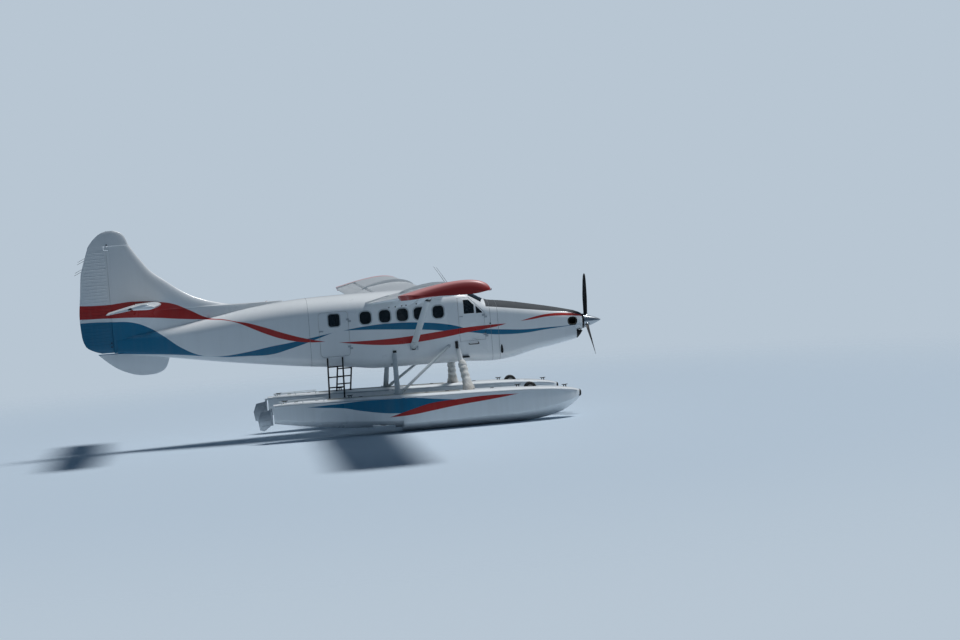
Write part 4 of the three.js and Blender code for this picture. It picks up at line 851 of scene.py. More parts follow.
for angle in blade_angles:
    carve(cone, tube(out_along(angle, (0.06, 0.3)), 0.07, 28))
fitted(cone, "spinner_cone", spun, ["spinner"], "propeller")


def half_thickness(u):
    """A streamlined section's half thickness at a share of its chord, for a thickness of one."""
    return 5 * (0.2969 * np.sqrt(u) - 0.126 * u - 0.3516 * u**2 + 0.2843 * u**3 - 0.0965 * u**4)


def foil(steps=18):
    """A streamlined outline of unit chord and thickness, from nose to tail and back."""
    u = (1 - np.cos(np.linspace(0, pi, steps))) / 2
    v = half_thickness(u)
    return [*zip(u, v), *zip(u[-2:0:-1], -v[-2:0:-1])]


# Columns: share of the radius, chord, thickness, pitch in degrees
blade_rows = fair([(0.06, 0.095, 0.085, 60), (0.16, 0.105, 0.06, 52), (0.3, 0.13, 0.036, 40),
                   (0.55, 0.17, 0.024, 28), (0.8, 0.16, 0.016, 21), (0.95, 0.125, 0.01, 17),
                   (1.0, 0.06, 0.006, 15)], 0.03)
blades = []
for angle in blade_angles:
    rings = []
    for share, chord, thick, pitch in blade_rows:
        turn = radians(pitch)
        ring = []
        for u, v in foil():
            along, out = (u - 0.4) * chord, v * thick
            x = prop_x - along * sin(turn) + out * cos(turn)
            y = along * cos(turn) + out * sin(turn)
            r = share * prop_radius
            ring.append((x, y * cos(angle) - r * sin(angle),
                         thrust_z + y * sin(angle) + r * cos(angle)))
        rings.append(ring)
    blades.append(skin(rings))
hub = lathe([(0, -0.043), (0.09, -0.043), (0.108, -0.03), (0.108, 0.05), (0.09, 0.065), (0, 0.065)],
            (prop_x, 0, thrust_z), "x", 40)
# Matt black polyurethane, scratched to grey by sand and spray in marks of 20 mm
blade_paint, tree, shader, place = surface("matt_black_blade_paint", "#0d0e10", 0.65)
marks = patches(tree, place, 55.0, 6.0, 0.6, 0.8, 0.0, 0.35)
tie(shader, Base_Color=painted(tree, "#0d0e10", [(marks, "#45423e")]))
fitted([hub, *blades], "propeller_blade_set", blade_paint, ["propeller_blades"], "propeller")
clamps = [tube(out_along(angle, (0.118, 0.122, 0.158, 0.162)), [0.056, 0.062, 0.062, 0.056], 28)
          for angle in blade_angles]
fitted(clamps, "blade_clamps", spun, body="propeller")

# Wings
# Straight, thick-sectioned metal wings of constant chord, gloss white, in front of a bay for the flap and the
# aileron. Hinge brackets hang below the rear spar, and an upright fence stands between flap and aileron.
half_span, chord, leading_x, root_z, root_y = 8.84, 1.90, 2.37, 3.14, 0.8
dihedral, wing_rise, wing_drop = radians(2), 0.245, 0.03
trailing_x = leading_x - chord
spar_x = trailing_x + 0.54
flap_ys, aileron_ys, tip_y, surface_run = (0.96, 4.56), (4.62, 8.18), 8.3, 0.014
bracket_ys, fence_y = (1.5, 3.0, 4.4, 5.3, 7.3), 4.59
droop, edge_half = radians(3), 0.006


def chord_z(y):
    return root_z + (y - root_y) * tan(dihedral)


def wing_ring(y, long=chord, nose=leading_x, rise=wing_rise, drop=wing_drop, sink=0.0, bend=0.0, steps=30):
    z = chord_z(y) - sink
    upper, lower = [], []
    for i in range(steps + 1):
        u = (1 - cos(pi * i / steps)) / 2
        late = max(0, u - 0.9) * 10
        upper.append((nose - u * long, y, z + 2 * half_thickness(u) * rise + edge_half * late))
        if i:
            down = edge_half * late + bend * max(0, (u - 0.55) / 0.45)
            under = z - 2 * half_thickness(u) * drop - down
            lower.insert(0, (nose - u * long + 0.6 * bend * late, y, under))
    return upper + lower


def wing_top(x, y):
    """Height of the wing's upper surface."""
    return chord_z(y) + 2 * half_thickness((leading_x - x) / chord) * wing_rise


# Gloss white enamel on light alloy skins, with a little grime washed back by the slipstream
wing_enamel, tree, shader, place = surface("wing_enamel", white, 0.28, Coat_Weight=0.3, Coat_Roughness=0.1)
back_wash = add(tree, "ShaderNodeMapping", place, named={"Scale": (0.5, 7.0, 1.0)})
wash = patches(tree, back_wash, 1.2, 5.0, 0.45, 0.75, 0.0, 0.12)
peel = add(tree, "ShaderNodeTexNoise", place, named={"Scale": 40.0})
tie(shader, Base_Color=painted(tree, white, [(wash, "#8f8e86")]),
    Normal=add(tree, "ShaderNodeBump", named={"Strength": 0.05, "Distance": 0.002, "Height": peel}))
# Brick-red enamel on the tips, with a painted sheen: lighter pink where the surface faces up, for the sky's
# reflection
tip_enamel, tree, shader, place = surface("brick_red_enamel", "#a52a25", 0.45, Coat_Weight=0.25,
                                          Coat_Roughness=0.3)
facing = add(tree, "ShaderNodeSeparateXYZ", add(tree, "ShaderNodeNewGeometry").outputs["Normal"])
# Painted sheen: the upward-facing parts of the tips are mixed towards pale pink
painted_top_sheen = add(tree, "ShaderNodeMapRange", facing.outputs["Z"], 0.2, 0.95, 0.0, 0.9)
tie(shader, Base_Color=painted(tree, "#a52a25", [(painted_top_sheen, "#e0a19f")]))

wing_block = skin([wing_ring(0.0), wing_ring(tip_y)])
bay = box(trailing_x - 0.2, spar_x, flap_ys[0] - surface_run, aileron_ys[1] + surface_run, 2.6, 4.2)
wing = carve(carve(copy_of(wing_block), bay), body_block, keep=True)


def hinge_point(y):
    return spar_x - 0.078, y, chord_z(y) + 0.046


def bracket(y):
    z = hinge_point(y)[2]
    outline = [(spar_x + 0.26, z - 0.06), (spar_x + 0.06, z - 0.06), (spar_x - 0.09, z - 0.215),
               (spar_x - 0.06, z - 0.235), (spar_x + 0.09, z - 0.18)]
    return softened(prism(outline, y - 0.009, y + 0.009), 0.003)


def bracket_pin(y):
    x, _, z = hinge_point(y)
    return tube([(x + 0.02, y - 0.018, z - 0.204), (x + 0.02, y + 0.018, z - 0.204)], 0.015, 12)


def divider():
    y = (flap_ys[1] + aileron_ys[0]) / 2
    x, _, z = hinge_point(y)
    outline = [(spar_x + 0.03, z + 0.03), (x - 0.026, z + 0.024), (x - 0.026, z - 0.024),
               (spar_x + 0.03, z - 0.05)]
    return prism(outline, y - 0.012, y + 0.012)


def fence(y, count=30):
    """A thin upright plate along the wing's upper surface, round at both ends."""
    xs = np.linspace(0.88, 2.31, count)
    rise = [0.075 * max(0, sin(pi * k / (count - 1))) ** 0.45 for k in range(count)]
    top = [(x, wing_top(x, y) + up) for x, up in zip(xs, rise)]
    return prism([*top, *[(x, wing_top(x, y) - 0.025) for x in xs[::-1]]], y - 0.004, y + 0.004)


def tip_cap():
    """The cap turns down along its trailing edge and rounds off outwards."""
    # Columns: span station, nose back, chord cut, upper height, sink, turn-down of the trailing edge
    rows = fair([(tip_y + hair, 0, 0, wing_rise, 0, 0), (8.34, 0, 0, wing_rise, 0, 0.06),
                 (8.48, 0, 0, wing_rise, 0, 0.076), (8.64, 0.01, 0.11, wing_rise, 0, 0.076),
                 (8.76, 0.04, 0.19, wing_rise - 0.015, 0, 0.076),
                 (8.82, 0.10, 0.36, wing_rise - 0.07, 0.01, 0.06),
                 (half_span, 0.22, 0.70, 0.07, 0.03, 0)], 0.02)
    return skin([wing_ring(y, chord - cut, leading_x - back, up, wing_drop, sink, bend)
                 for y, back, cut, up, sink, bend in rows])


# Angles round the nose of a hinged surface
nose_turn = np.linspace(-0.48 * pi, 0.48 * pi, 14)


def surface_ring(y, nose=0.066):
    """Round about its hinge line, then a straight taper to the trailing edge."""
    x, _, z = hinge_point(y)
    ring = [(x + nose * cos(t), y, z + nose * sin(t)) for t in nose_turn]
    return ring + [(trailing_x, y, chord_z(y) + edge_half), (trailing_x, y, chord_z(y) - edge_half)]


def swung(piece, axis, angle, origin):
    there, back = Matrix.Translation(origin), Matrix.Translation(-Vector(origin))
    piece.data.transform(there @ Matrix.Rotation(angle, 4, Vector(axis)) @ back)
    return piece


def beads(ys):
    """Pressed stiffening beads on both faces, from behind the hinge to the trailing edge."""
    made = []
    for side in (1, -1):
        for y in ys:
            x, _, z = hinge_point(y)
            start = (x - 0.03, y, z + side * 0.064)
            stop = (trailing_x + 0.03, y, chord_z(y) + side * 0.0085)
            made.append(tube([start, stop], 0.005, 6))
    return made


hinge_axis = (0, cos(dihedral), sin(dihedral))
# Columns: name, span, and the stations of the pin at its outer or inner end
hinged = (("flap", flap_ys, (flap_ys[0] - 0.0129, flap_ys[0] + 0.02)),
          ("aileron", aileron_ys, (aileron_ys[1] - 0.02, aileron_ys[1] + 0.0129)))
for side in ("left", "right"):
    panel = on_side(gathered([copy_of(wing), divider(), fence(fence_y)]), side)
    fitted(panel, f"wing_skin_{side}", wing_enamel, [f"wing_{side}"])
    fitted(on_side(tip_cap(), side), f"wing_tip_skin_{side}", tip_enamel, [f"wing_tip_{side}"])
    brackets = on_side(gathered([bracket(y) for y in bracket_ys]), side)
    fitted(brackets, f"hinge_brackets_{side}", wing_enamel)
    pins = on_side(gathered([bracket_pin(y) for y in bracket_ys]), side)
    fitted(pins, f"hinge_bracket_pins_{side}", black)
    for label, (y0, y1), pin in hinged:
        parts = [skin([surface_ring(y0), surface_ring(y1)]), tube([hinge_point(y) for y in pin], 0.02, 16)]
        parts += beads(np.arange(y0 + 0.15, y1 - 0.05, 0.3))
        piece = on_side(swung(gathered(parts), hinge_axis, -droop, hinge_point(y0)), side)
        node = f"{label}_{side}"
        fitted(piece, f"{label}_skin_{side}", wing_enamel, [node], node)

# Wing struts
# One streamlined alloy strut a side, in pale grey enamel, drawn in where it meets the cabin on a bolted fork.
strut_enamel, tree, shader, place = surface("pale_grey_enamel", "#c6cdd0", 0.34, Coat_Weight=0.2,
                                            Coat_Roughness=0.2)
weathered(tree, shader, place, "#c6cdd0", amount=0.12)


def streamlined(stations, thick):
    """A strut through stations of x, y, z and chord: its chord lies along X."""
    stations = np.array(stations)
    run = stations[-1] - stations[0]
    out, up = np.array((run[2], -run[1])) * thick / hypot(run[1], run[2])
    return skin([[(x - chord * (u - 0.4), y + v * out, z + v * up) for u, v in foil()]
                 for x, y, z, chord in stations])


strut_root, strut_top = (1.55, 0.80, 1.94), (1.575, 4.60)
strut_slope = (chord_z(strut_top[1]) - strut_root[2]) / (strut_top[1] - strut_root[1])


def strut_at(y):
    share = (y - strut_root[1]) / (strut_top[1] - strut_root[1])
    x = strut_root[0] + share * (strut_top[0] - strut_root[0])
    return x, y, strut_root[2] + strut_slope * (y - strut_root[1])


# Columns: y, chord
chords = fair([(0.70, 0.072), (0.83, 0.075), (1.01, 0.165), (2.8, 0.158), (4.66, 0.15)], 0.03)
for side in ("left", "right"):
    strut = streamlined([(*strut_at(y), chord) for y, chord in chords], 0.072)
    strut = softened(carve(carve(strut, body_block, keep=True), wing_block, keep=True), 0.003, 1, 60)
    x, y, z = strut_at(0.845)
    fork = softened(box(x - 0.03, x + 0.03, 0.79, 0.87, z - 0.05, z - 0.012), 0.006)
    bolts = [tube([(x - 0.05, y, z - 0.028), (x + 0.05, y, z - 0.028)], 0.014, 10)]
    x, y, z = strut_at(4.47)
    bolts.append(tube([(x - 0.06, y, z + 0.012), (x + 0.06, y, z + 0.012)], 0.011, 10))
    collar = streamlined([(*strut_at(y), 0.162) for y in (4.36, 4.42, 4.48)], 0.084)
    bolts.append(carve(collar, wing_block, keep=True))
    fittings = gathered([carve(fork, body_block, keep=True), *bolts])
    node = f"wing_strut_{side}"
    fitted(on_side(strut, side), f"wing_strut_skin_{side}", strut_enamel, [node])
    fitted(on_side(fittings, side), f"wing_strut_fittings_{side}", black)

# Fin, rudder and tailplane
# A tall fin that grows out of a long dorsal fillet, a beaded rudder with a horn balance on top, and a
# one-piece tailplane through the fin with two drooped elevators. The keel fin below is flat plate.


def upright_ring(z, nose, rear, half, rear_share=0.62, steps=18):
    port_side = []
    for i in range(steps + 1):
        u = (i / steps) ** 1.6
        front = min(1, u / 0.35)
        taper = 1 if u < 0.35 else 1 - (1 - rear_share) * (u - 0.35) / 0.65
        thick = half * max(sqrt(front * (2 - front)) * taper, 0.05)
        port_side.append((nose + u * (rear - nose), thick, z))
    return port_side + [(x, -y, h) for x, y, h in reversed(port_side)]


def smooth_path(rows, spacing):
    """A table smoothed along its own length, for an outline that turns back on itself."""
    rows = np.array(rows, float)
    run = np.concatenate([[0], np.cumsum(np.linalg.norm(np.diff(rows[:, :2], axis=0), axis=1))])
    return fair(np.column_stack([run, rows]), spacing)[:, 1:]


fin_rear, rudder_hinge, fin_top, rudder_nose = -5.622, -5.68, 5.0, 0.042
tailplane_z, tail_half, tail_hinge = 3.50, 3.05, -5.11
# Columns: height, leading edge, half thickness
fin_rows = smooth_path([
    (2.70, -1.50, 0.120), (3.20, -1.45, 0.118), (3.352, -1.50, 0.10), (3.372, -2.72, 0.092),
    (3.45, -3.13, 0.09), (3.61, -3.61, 0.088), (3.83, -4.00, 0.084), (4.06, -4.30, 0.080),
    (4.33, -4.64, 0.074), (4.64, -4.88, 0.068), (fin_top, -5.12, 0.058)], 0.09)


def flat_ring(y, grow=0.0):
    share = abs(y) / tail_half
    nose = -4.45 - 0.12 * share + grow
    half = (0.105 - 0.043 * share) / 2 + 0.022 + grow
    outline = upright_ring(0, nose, tail_hinge + 0.044 - grow, half, 0.72)
    return [(x, y, tailplane_z + v) for x, v, _ in outline]


def rounded_tip(y0, y1, count=7):
    return [y0 + (y1 - y0) * sin(t) for t in np.linspace(0, pi / 2, count)]


def tip_ring(y, y0, y1):
    """The tailplane's outer end rounds off in plan and in section."""
    share = max(0.0, min(1.0, (abs(y) - y0) / (y1 - y0)))
    ring = np.array(flat_ring(copysign(min(abs(y), y1), y)))
    squeeze = sqrt(max(0.3, 1 - share**2))
    ring[:, 2] = tailplane_z + (ring[:, 2] - tailplane_z) * squeeze
    rear = ring[:, 0].min()
    ring[:, 0] = rear + (ring[:, 0] - rear) * (1 - 0.03 * share**2)
    return ring


tip_start = 3.0
outer = rounded_tip(tip_start, tail_half)
tail_ys = [-y for y in reversed(outer)] + [-2, -1, 0, 1, 2] + outer
tailplane = skin([tip_ring(y, tip_start, tail_half) for y in tail_ys])
lug = [(tail_hinge + 0.08, tailplane_z + 0.03), (tail_hinge - 0.026, tailplane_z + 0.024),
       (tail_hinge - 0.026, tailplane_z - 0.024), (tail_hinge + 0.08, tailplane_z - 0.03)]
tailplane = gathered([tailplane, prism(lug, 0.185, 0.209), prism(lug, -0.209, -0.185)])
fitted(tailplane, "tailplane_skin", wing_enamel, ["tailplane"])

fin = skin([upright_ring(z, nose, fin_rear, half) for z, nose, half in fin_rows])
carve(fin, body_block, keep=True)
carve(fin, skin([flat_ring(y, hair) for y in (-0.5, 0, 0.5)]))
rudder_lug = [(fin_rear + 0.06, 0.03), (rudder_hinge - 0.02, 0.026), (rudder_hinge - 0.045, 0.01),
              (rudder_hinge - 0.045, -0.01), (rudder_hinge - 0.02, -0.026), (fin_rear + 0.06, -0.03)]
fin = gathered([fin, prism(rudder_lug, 4.915, 4.99, "z")])
fitted(fin, "fin_skin", livery, ["fin"])

# Columns: height, trailing edge
rudder_rows = smooth_path([(2.412, -5.96), (2.47, -6.13), (2.60, -6.33), (2.85, -6.41), (3.27, -6.432),
                           (3.90, -6.37), (4.35, -6.32), (4.64, -6.23), (4.905, -6.14)], 0.06)


def rudder_tail(z):
    """The rudder's trailing edge at a height."""
    return float(np.interp(z, rudder_rows[:, 0], rudder_rows[:, 1]))


def rudder_ring(z, tail_x):
    ring = [(rudder_hinge + rudder_nose * cos(t), rudder_nose * sin(t), z) for t in nose_turn]
    return ring + [(tail_x, 0.005, z), (tail_x, -0.005, z)]


def rudder_side(x, z):
    """Half thickness of the rudder behind its hinge."""
    tail_x = rudder_tail(z)
    return 0.005 + (rudder_nose - 0.005) * (x - tail_x) / (rudder_hinge - tail_x)


# Columns: height, leading edge, trailing edge, half thickness
horn_rows = smooth_path([(5.006, -5.125, -6.105, 0.056), (5.12, -5.165, -6.02, 0.052),
                         (5.23, -5.215, -5.915, 0.044), (5.32, -5.31, -5.79, 0.032),
                         (5.372, -5.44, -5.64, 0.014)], 0.03)
closing_x = rudder_hinge - 0.055
closing = [[(closing_x, 0.026, z), (x, 0.006, z), (x, -0.006, z), (closing_x, -0.026, z)]
           for z, x in ((4.89, -6.143), (4.95, -6.124), (5.02, -6.099))]
parts = [skin([rudder_ring(z, x) for z, x in rudder_rows]),
         skin([upright_ring(z, nose, rear, half, 0.12) for z, nose, rear, half in horn_rows]), skin(closing),
         tube([(rudder_hinge, 0, 4.9903), (rudder_hinge, 0, 5.03)], 0.018, 16)]
for z in np.arange(2.62, 4.86, 0.08):
    for sign in (-1, 1):
        xs = (rudder_hinge - 0.03, rudder_tail(z) + 0.03)
        parts.append(tube([(x, sign * (rudder_side(x, z) - 0.001), z) for x in xs], 0.0075, 6))
fitted(parts, "rudder_skin", livery, ["rudder"], "rudder")

keel = smooth_path([(-4.34, 2.25), (-4.40, 2.06), (-4.48, 1.925), (-4.62, 1.845), (-4.79, 1.812),
                    (-5.0, 1.808), (-5.15, 1.825), (-5.36, 1.89), (-5.60, 2.005), (-5.85, 2.19),
                    (-6.05, 2.38)], 0.05)
keel_outline = [*map(tuple, keel), (-6.055, 2.392), (-5.59, 2.392), (-5.585, 2.42), (-4.33, 2.42)]
keel_plate = carve(prism(keel_outline, -0.022, 0.022), body_block, keep=True)
fitted(softened(keel_plate, 0.010, 3), "keel_fin_skin", livery, ["ventral_fin"])


def rear_lip(z):
    """A section across the strip that closes the gap ahead of the rudder: two thin lips on a web."""
    half = float(np.interp(z, fin_rows[:, 0], fin_rows[:, 2])) * 0.62
    out, thin, front = max(half + 0.0006, 0.0505), 0.0025, -5.598
    port_side = [(front, out), (-5.662, out), (-5.662, out - thin), (-5.626, out - thin)]
    return [(x, y, z) for x, y in port_side] + [(x, -y, z) for x, y in reversed(port_side)]


gap_strip = skin([rear_lip(z) for z in np.linspace(2.40, 4.90, 36)])
fitted(gap_strip, "rudder_gap_strip", livery)

elevator_ys = (0.215, 3.226)


def elevator_ring(y):
    share = (y - elevator_ys[0]) / (elevator_ys[1] - elevator_ys[0])
    nose = 0.038 - 0.012 * share
    ring = [(tail_hinge + nose * cos(t), y, tailplane_z + nose * sin(t)) for t in nose_turn]
    tail_x = tail_hinge - 0.625 + 0.05 * share
    return ring + [(tail_x, y, tailplane_z + 0.005), (tail_x, y, tailplane_z - 0.005)]


# The balance ahead of the hinge, outboard of the tailplane. Columns: y, reach, half thickness
balance_rows = smooth_path([(3.066, 0.44, 0.037), (3.19, 0.428, 0.036), (3.226, 0.385, 0.03)], 0.02)
elevator_droop = radians(10)
for side in ("left", "right"):
    balance = [[(x, y, tailplane_z + v) for x, v, _ in
                upright_ring(0, tail_hinge + reach, tail_hinge - 0.06, half, 0.6)]
               for y, reach, half in balance_rows]
    parts = [skin([elevator_ring(y) for y in elevator_ys]), skin(balance),
             tube([(tail_hinge, 0.2093, tailplane_z), (tail_hinge, 0.235, tailplane_z)], 0.018, 16)]
    for y in np.arange(0.4, 3.1, 0.22):
        for face in (-1, 1):
            ends = ((0.03, 0.033), (0.55, 0.0078))
            parts.append(tube([(tail_hinge - run, y, tailplane_z + face * up) for run, up in ends], 0.005, 6))
    piece = swung(gathered(parts), (0, 1, 0), -elevator_droop, (tail_hinge, 0, tailplane_z))
    piece = on_side(piece, side)
    fitted(piece, f"elevator_skin_{side}", wing_enamel, [f"elevator_{side}"], "elevator")

# Float struts and spreaders
# Streamlined tubes from cabin to deck, two spreader bars between the floats and a round diagonal brace a
# side. The front strut wears a canvas sleeve in folds, tied at its top and flared over its foot fitting.
front_top, front_foot = (2.64, 0.69, 1.985), (2.755, 1.5, 0.8)
rear_top, rear_foot = (1.09, 0.69, 2.01), (1.02, 1.5, 0.82)
brace_top, brace_foot = (2.51, 0.745, 1.99), (1.075, 1.435, 0.915)


def between(start, stop, share):
    return np.array(start) + (np.array(stop) - np.array(start)) * share


# Rubberised canvas: a dull white weave, soiled grey and stained along its hem, in patches of 140 mm.
# The threads are drawn 4 mm apart so that they show
canvas, tree, shader, place = surface("rubberised_canvas", "#c2c4c1", 0.75, Sheen_Weight=0.2)
weave = [add(tree, "ShaderNodeTexWave", place, named={"Scale": 80.0}, bands_direction=way).outputs["Fac"]
         for way in "XZ"]
cloth = add(tree, "ShaderNodeMath", *weave, operation="MULTIPLY")
soil = add(tree, "ShaderNodeTexNoise", place, named={"Scale": 7.0, "Detail": 5.0})
soiled = add(tree, "ShaderNodeMapRange", soil, 0.45, 0.75, 0.0, 0.55)
split = add(tree, "ShaderNodeSeparateXYZ", place)
hem = add(tree, "ShaderNodeMapRange", split.outputs["Z"], 1.06, 0.86, 0.0, 0.75)
hem = add(tree, "ShaderNodeMath", hem, soil, operation="MULTIPLY")
tie(shader, Base_Color=painted(tree, "#cdcecb", [(soiled, "#85867f"), (hem, "#8a6f4c")]),
    Normal=add(tree, "ShaderNodeBump", named={"Strength": 0.35, "Distance": 0.002, "Height": cloth}))


# Columns: share of the way down, radius
folds = fair([(0.36, 0.062), (0.38, 0.078), (0.44, 0.100), (0.47, 0.104), (0.50, 0.092), (0.53, 0.105),
              (0.56, 0.103), (0.59, 0.093), (0.62, 0.096), (0.65, 0.108), (0.68, 0.106), (0.71, 0.097),
              (0.74, 0.100), (0.77, 0.112), (0.80, 0.112), (0.84, 0.118), (0.92, 0.145), (0.96, 0.148),
              (1.03, 0.145)], 0.006)


def fabric_sleeve():
    """Folds run round the sleeve, deeper on one side than on the other, and it flares at its foot."""
    top, foot = np.array(front_top), np.array(front_foot)
    run = (foot - top) / np.linalg.norm(foot - top)
    side = np.cross(run, (1, 0, 0))
    side /= np.linalg.norm(side)
    fore = np.cross(side, run)
    rings = []
    for share, radius in folds:
        ring = []
        for t in full_turn(40):
            crinkle = 0.0022 * sin(5 * t + 40 * share) + 0.0018 * sin(11 * t - 63 * share)
            size = radius + crinkle * min(1, (share - 0.36) * 20)
            ring.append(top + (foot - top) * share + size * (cos(t) * fore + sin(t) * side))
        rings.append(ring)
    return skin(rings)


for side in ("left", "right"):
    struts = {"front_strut": streamlined([(*front_top, 0.12), (*front_foot, 0.12)], 0.062),
              "rear_strut": streamlined([(*rear_top, 0.105), (*rear_foot, 0.138)], 0.064),
              "diagonal_strut": tube([brace_top, brace_foot], 0.035, 24), "sleeve": fabric_sleeve()}
    for piece in struts.values():
        for block in (body_block, hull_block):
            carve(piece, block, keep=True)
    rear_room = streamlined([(*rear_top, 0.1056), (*rear_foot, 0.1386)], 0.068)
    carve(struts["diagonal_strut"], rear_room)
    metal = [tube([between(brace_top, brace_foot, share + d) for d in (-0.012, -0.008, 0.008, 0.012)],
                  [0.038, 0.044, 0.044, 0.038], 28) for share in (0.06, 0.93)]
    for x, y, _ in (front_foot, rear_foot):
        z = deck_at(x)
        metal.append(softened(box(x - 0.115, x + 0.115, y - 0.10, y + 0.10, z - 0.03, z + 0.016), 0.008))
        for u, v in ((-0.095, -0.08), (-0.095, 0.08), (0.095, -0.08), (0.095, 0.08)):
            metal.append(tube([(x + u, y + v, z), (x + u, y + v, z + 0.03)], 0.011, 6))
    band_at = [between(front_top, front_foot, t) for t in (0.362, 0.366, 0.374, 0.378)]
    metal.append(tube(band_at, [0.066, 0.073, 0.073, 0.066], 32))
    for node, label, slot in (("front_strut", "front_strut_tube", "white_enamel"),
                              ("rear_strut", "rear_strut_tube", "white_enamel"),
                              ("diagonal_strut", "diagonal_brace", "bare_alloy")):
        piece = on_side(struts[node], side)
        fitted(piece, f"{label}_{side}", strut_enamel, [f"{node}_{side}"])
    fitted(on_side(gathered(metal), side), f"strut_fittings_{side}", alloy)
    fitted(on_side(struts["sleeve"], side), f"strut_sleeve_{side}", canvas)

other_hull = on_side(copy_of(hull_block), "right")
for label, x in (("front_spreader", 2.78), ("rear_spreader", 1.33)):
    bar = skin([[(x - 0.12 * (u - 0.4), y, 0.64 + v * 0.062) for u, v in foil()]
                for y in (-float_y, float_y)])
    for block in (hull_block, other_hull):
        carve(bar, block, keep=True)
    fitted(bar, f"{label}_bar", strut_enamel, [label])
    inner_y = float_y - beam_at(x) * 0.985
    plates = [softened(box(x - 0.10, x + 0.09, s * inner_y, s * (inner_y - 0.012), 0.57, 0.71), 0.003)
              for s in (-1, 1)]
    fitted(plates, f"{label}_plates", alloy)

# Boarding ladders
# Black enamelled tube, hooked under the door sill and standing on the float's deck in rubber feet. The
# starboard one has three rungs and the port one four.
top_y, top_z, foot_z = 0.85, 1.88, 0.88
# Columns: side, rail stations, lean aft, y at the foot, rungs
for side, xs, lean, foot_y, rungs in (
    ("right", (-0.572, -0.206), -0.05, 1.185, (0.216, 0.46, 0.706)),
    ("left", (-0.185, 0.168), -0.075, 1.30, (0.18, 0.38, 0.583, 0.779)),
):
    parts, rests = [], []
    for x in xs:
        ends = (x, top_y, top_z), (x + lean, foot_y, foot_z)
        parts.append(carve(carve(tube(ends, 0.02, 16), hull_block, keep=True), body_block, keep=True))
        hook = [(x, 0.74, top_z - 0.03), (x, top_y - 0.02, top_z - 0.03), (x, top_y + 0.004, top_z - 0.02)]
        parts.append(carve(tube(hook, 0.012, 10), body_block, keep=True))
        foot = tube([between(*ends, 0.955), between(*ends, 1.0)], 0.028, 16)
        rests.append(carve(foot, hull_block, keep=True))
    for share in rungs:
        rung = [between((x, top_y, top_z), (x + lean, foot_y, foot_z), share) for x in xs]
        parts.append(tube(rung, 0.016, 16))
    ladder, rests = on_side(gathered(parts), side), on_side(gathered(rests), side)
    fitted(ladder, f"ladder_{side}_rails", black, [f"ladder_{side}"])
    fitted(rests, f"ladder_{side}_feet", rubber)

# Windscreen and windows
# Stretched acrylic, slightly smoked, in rubber seals behind pale grey retaining frames. The five side windows
# have an outer pane in the skin and one long liner pane inside.
acrylic, tree, shader, place = surface("smoked_acrylic", "#57646c", 0.04, Transmission_Weight=0.9, IOR=1.49)
tie(shader, Roughness=patches(tree, place, 6.0, 5.0, 0.4, 0.8, 0.02, 0.16))
# Anodised retaining frames, satin pale grey
frame_grey, tree, shader, place = surface("anodised_frame", "#b9c0c4", 0.4, 0.35)
tie(shader, Roughness=patches(tree, place, 24.0, 4.0, 0.3, 0.7, 0.32, 0.5))
# How far each layer of a window stands over the skin and reaches under it
pane_layer, screen_layer = (-0.008, 0.013), (-0.008, 0.016)
frame_layer, seal_layer = (0.003, 0.012), (0.0, 0.007)
pane_gap = -0.0005


def skin_band(x0, x1, outward, inward):
    """The layer of the body's side between two depths."""
    return carve(body_between(x0, x1, -outward), body_between(x0 - 0.05, x1 + 0.05, inward))


def patch(outline, sign, outward, inward):
    """A piece of that layer in a side-view outline."""
    xs = [x for x, _ in outline]
    band = skin_band(min(xs) - 0.03, max(xs) + 0.03, outward, inward)
    return carve(band, side_prism(outline, sign), "INTERSECT")


def grown(outline, by):
    """An outline offset outwards by a distance."""
    points = np.array(outline)
    centre = points.mean(axis=0)
    made = []
    for before, at, after in zip(np.roll(points, 1, axis=0), points, np.roll(points, -1, axis=0)):
        sides = []
        for run in (at - before, after - at):
            normal = np.array((run[1], -run[0])) / np.linalg.norm(run)
            sides.append(normal if normal @ (at - centre) > 0 else -normal)
        middle = sides[0] + sides[1]
        made.append(tuple(at + by * middle / max(0.5, middle @ sides[0])))
    return made


def ring_patch(outline, sign, wide, outward, inward):
    return carve(patch(grown(outline, wide), sign, outward, inward), side_prism(outline, sign))


def round_light(x, inset):
    """The frame's inner edge, rounder than the opening in the skin."""
    half, high = window_wide / 2, window_tall / 2
    return rounded(x - half + inset, x + half - inset, window_z - high + inset, window_z + high - inset,
                   0.112 - inset)


screen_inner = [(x + copysign(hair, 3.2 - x), y - copysign(hair, y)) for x, y in screen_plan]
screen = carve(skin_band(2.7, firewall, *screen_layer), prism(screen_inner, *screen_zs, "z"), "INTERSECT")
fitted(screen, "windscreen_glass", acrylic, ["windscreen"])
posts = []
for y in (-0.19, 0.19):
    strip = [(2.98, y - 0.022), (3.50, y - 0.022), (3.50, y + 0.022), (2.98, y + 0.022)]
    posts.append(carve(skin_band(2.8, firewall, 0.003, 0.016), prism(strip, *screen_zs, "z"), "INTERSECT"))
edge = carve(prism(grown(screen_plan, 0.03), *screen_zs, "z"), prism(screen_plan, 2.7, 3.6, "z"))
posts.append(carve(skin_band(2.7, firewall, 0.003, 0.004), edge, "INTERSECT"))
fitted(posts, "windscreen_frame", livery)

for side, sign in (("left", 1), ("right", -1)):
    liner = carve(skin_band(0.24, 2.415, -0.0403, 0.046),
                  box(0.24, 2.415, sign * 0.6, sign * 0.8, 2.59, 2.98), "INTERSECT")
    panes = [patch(window_outline(x, pane_gap), sign, *pane_layer) for x in window_xs]
    fitted([liner, *panes], f"side_windows_{side}", acrylic, [f"side_glazing_{side}"])
    frames = [ring_patch(round_light(x, 0.012), sign, 0.03, *frame_layer) for x in window_xs]
    fitted(frames, f"window_frames_{side}", frame_grey)
    seals = [ring_patch(round_light(x, 0.02), sign, 0.009, *seal_layer) for x in window_xs]
    fitted(seals, f"window_seals_{side}", rubber)

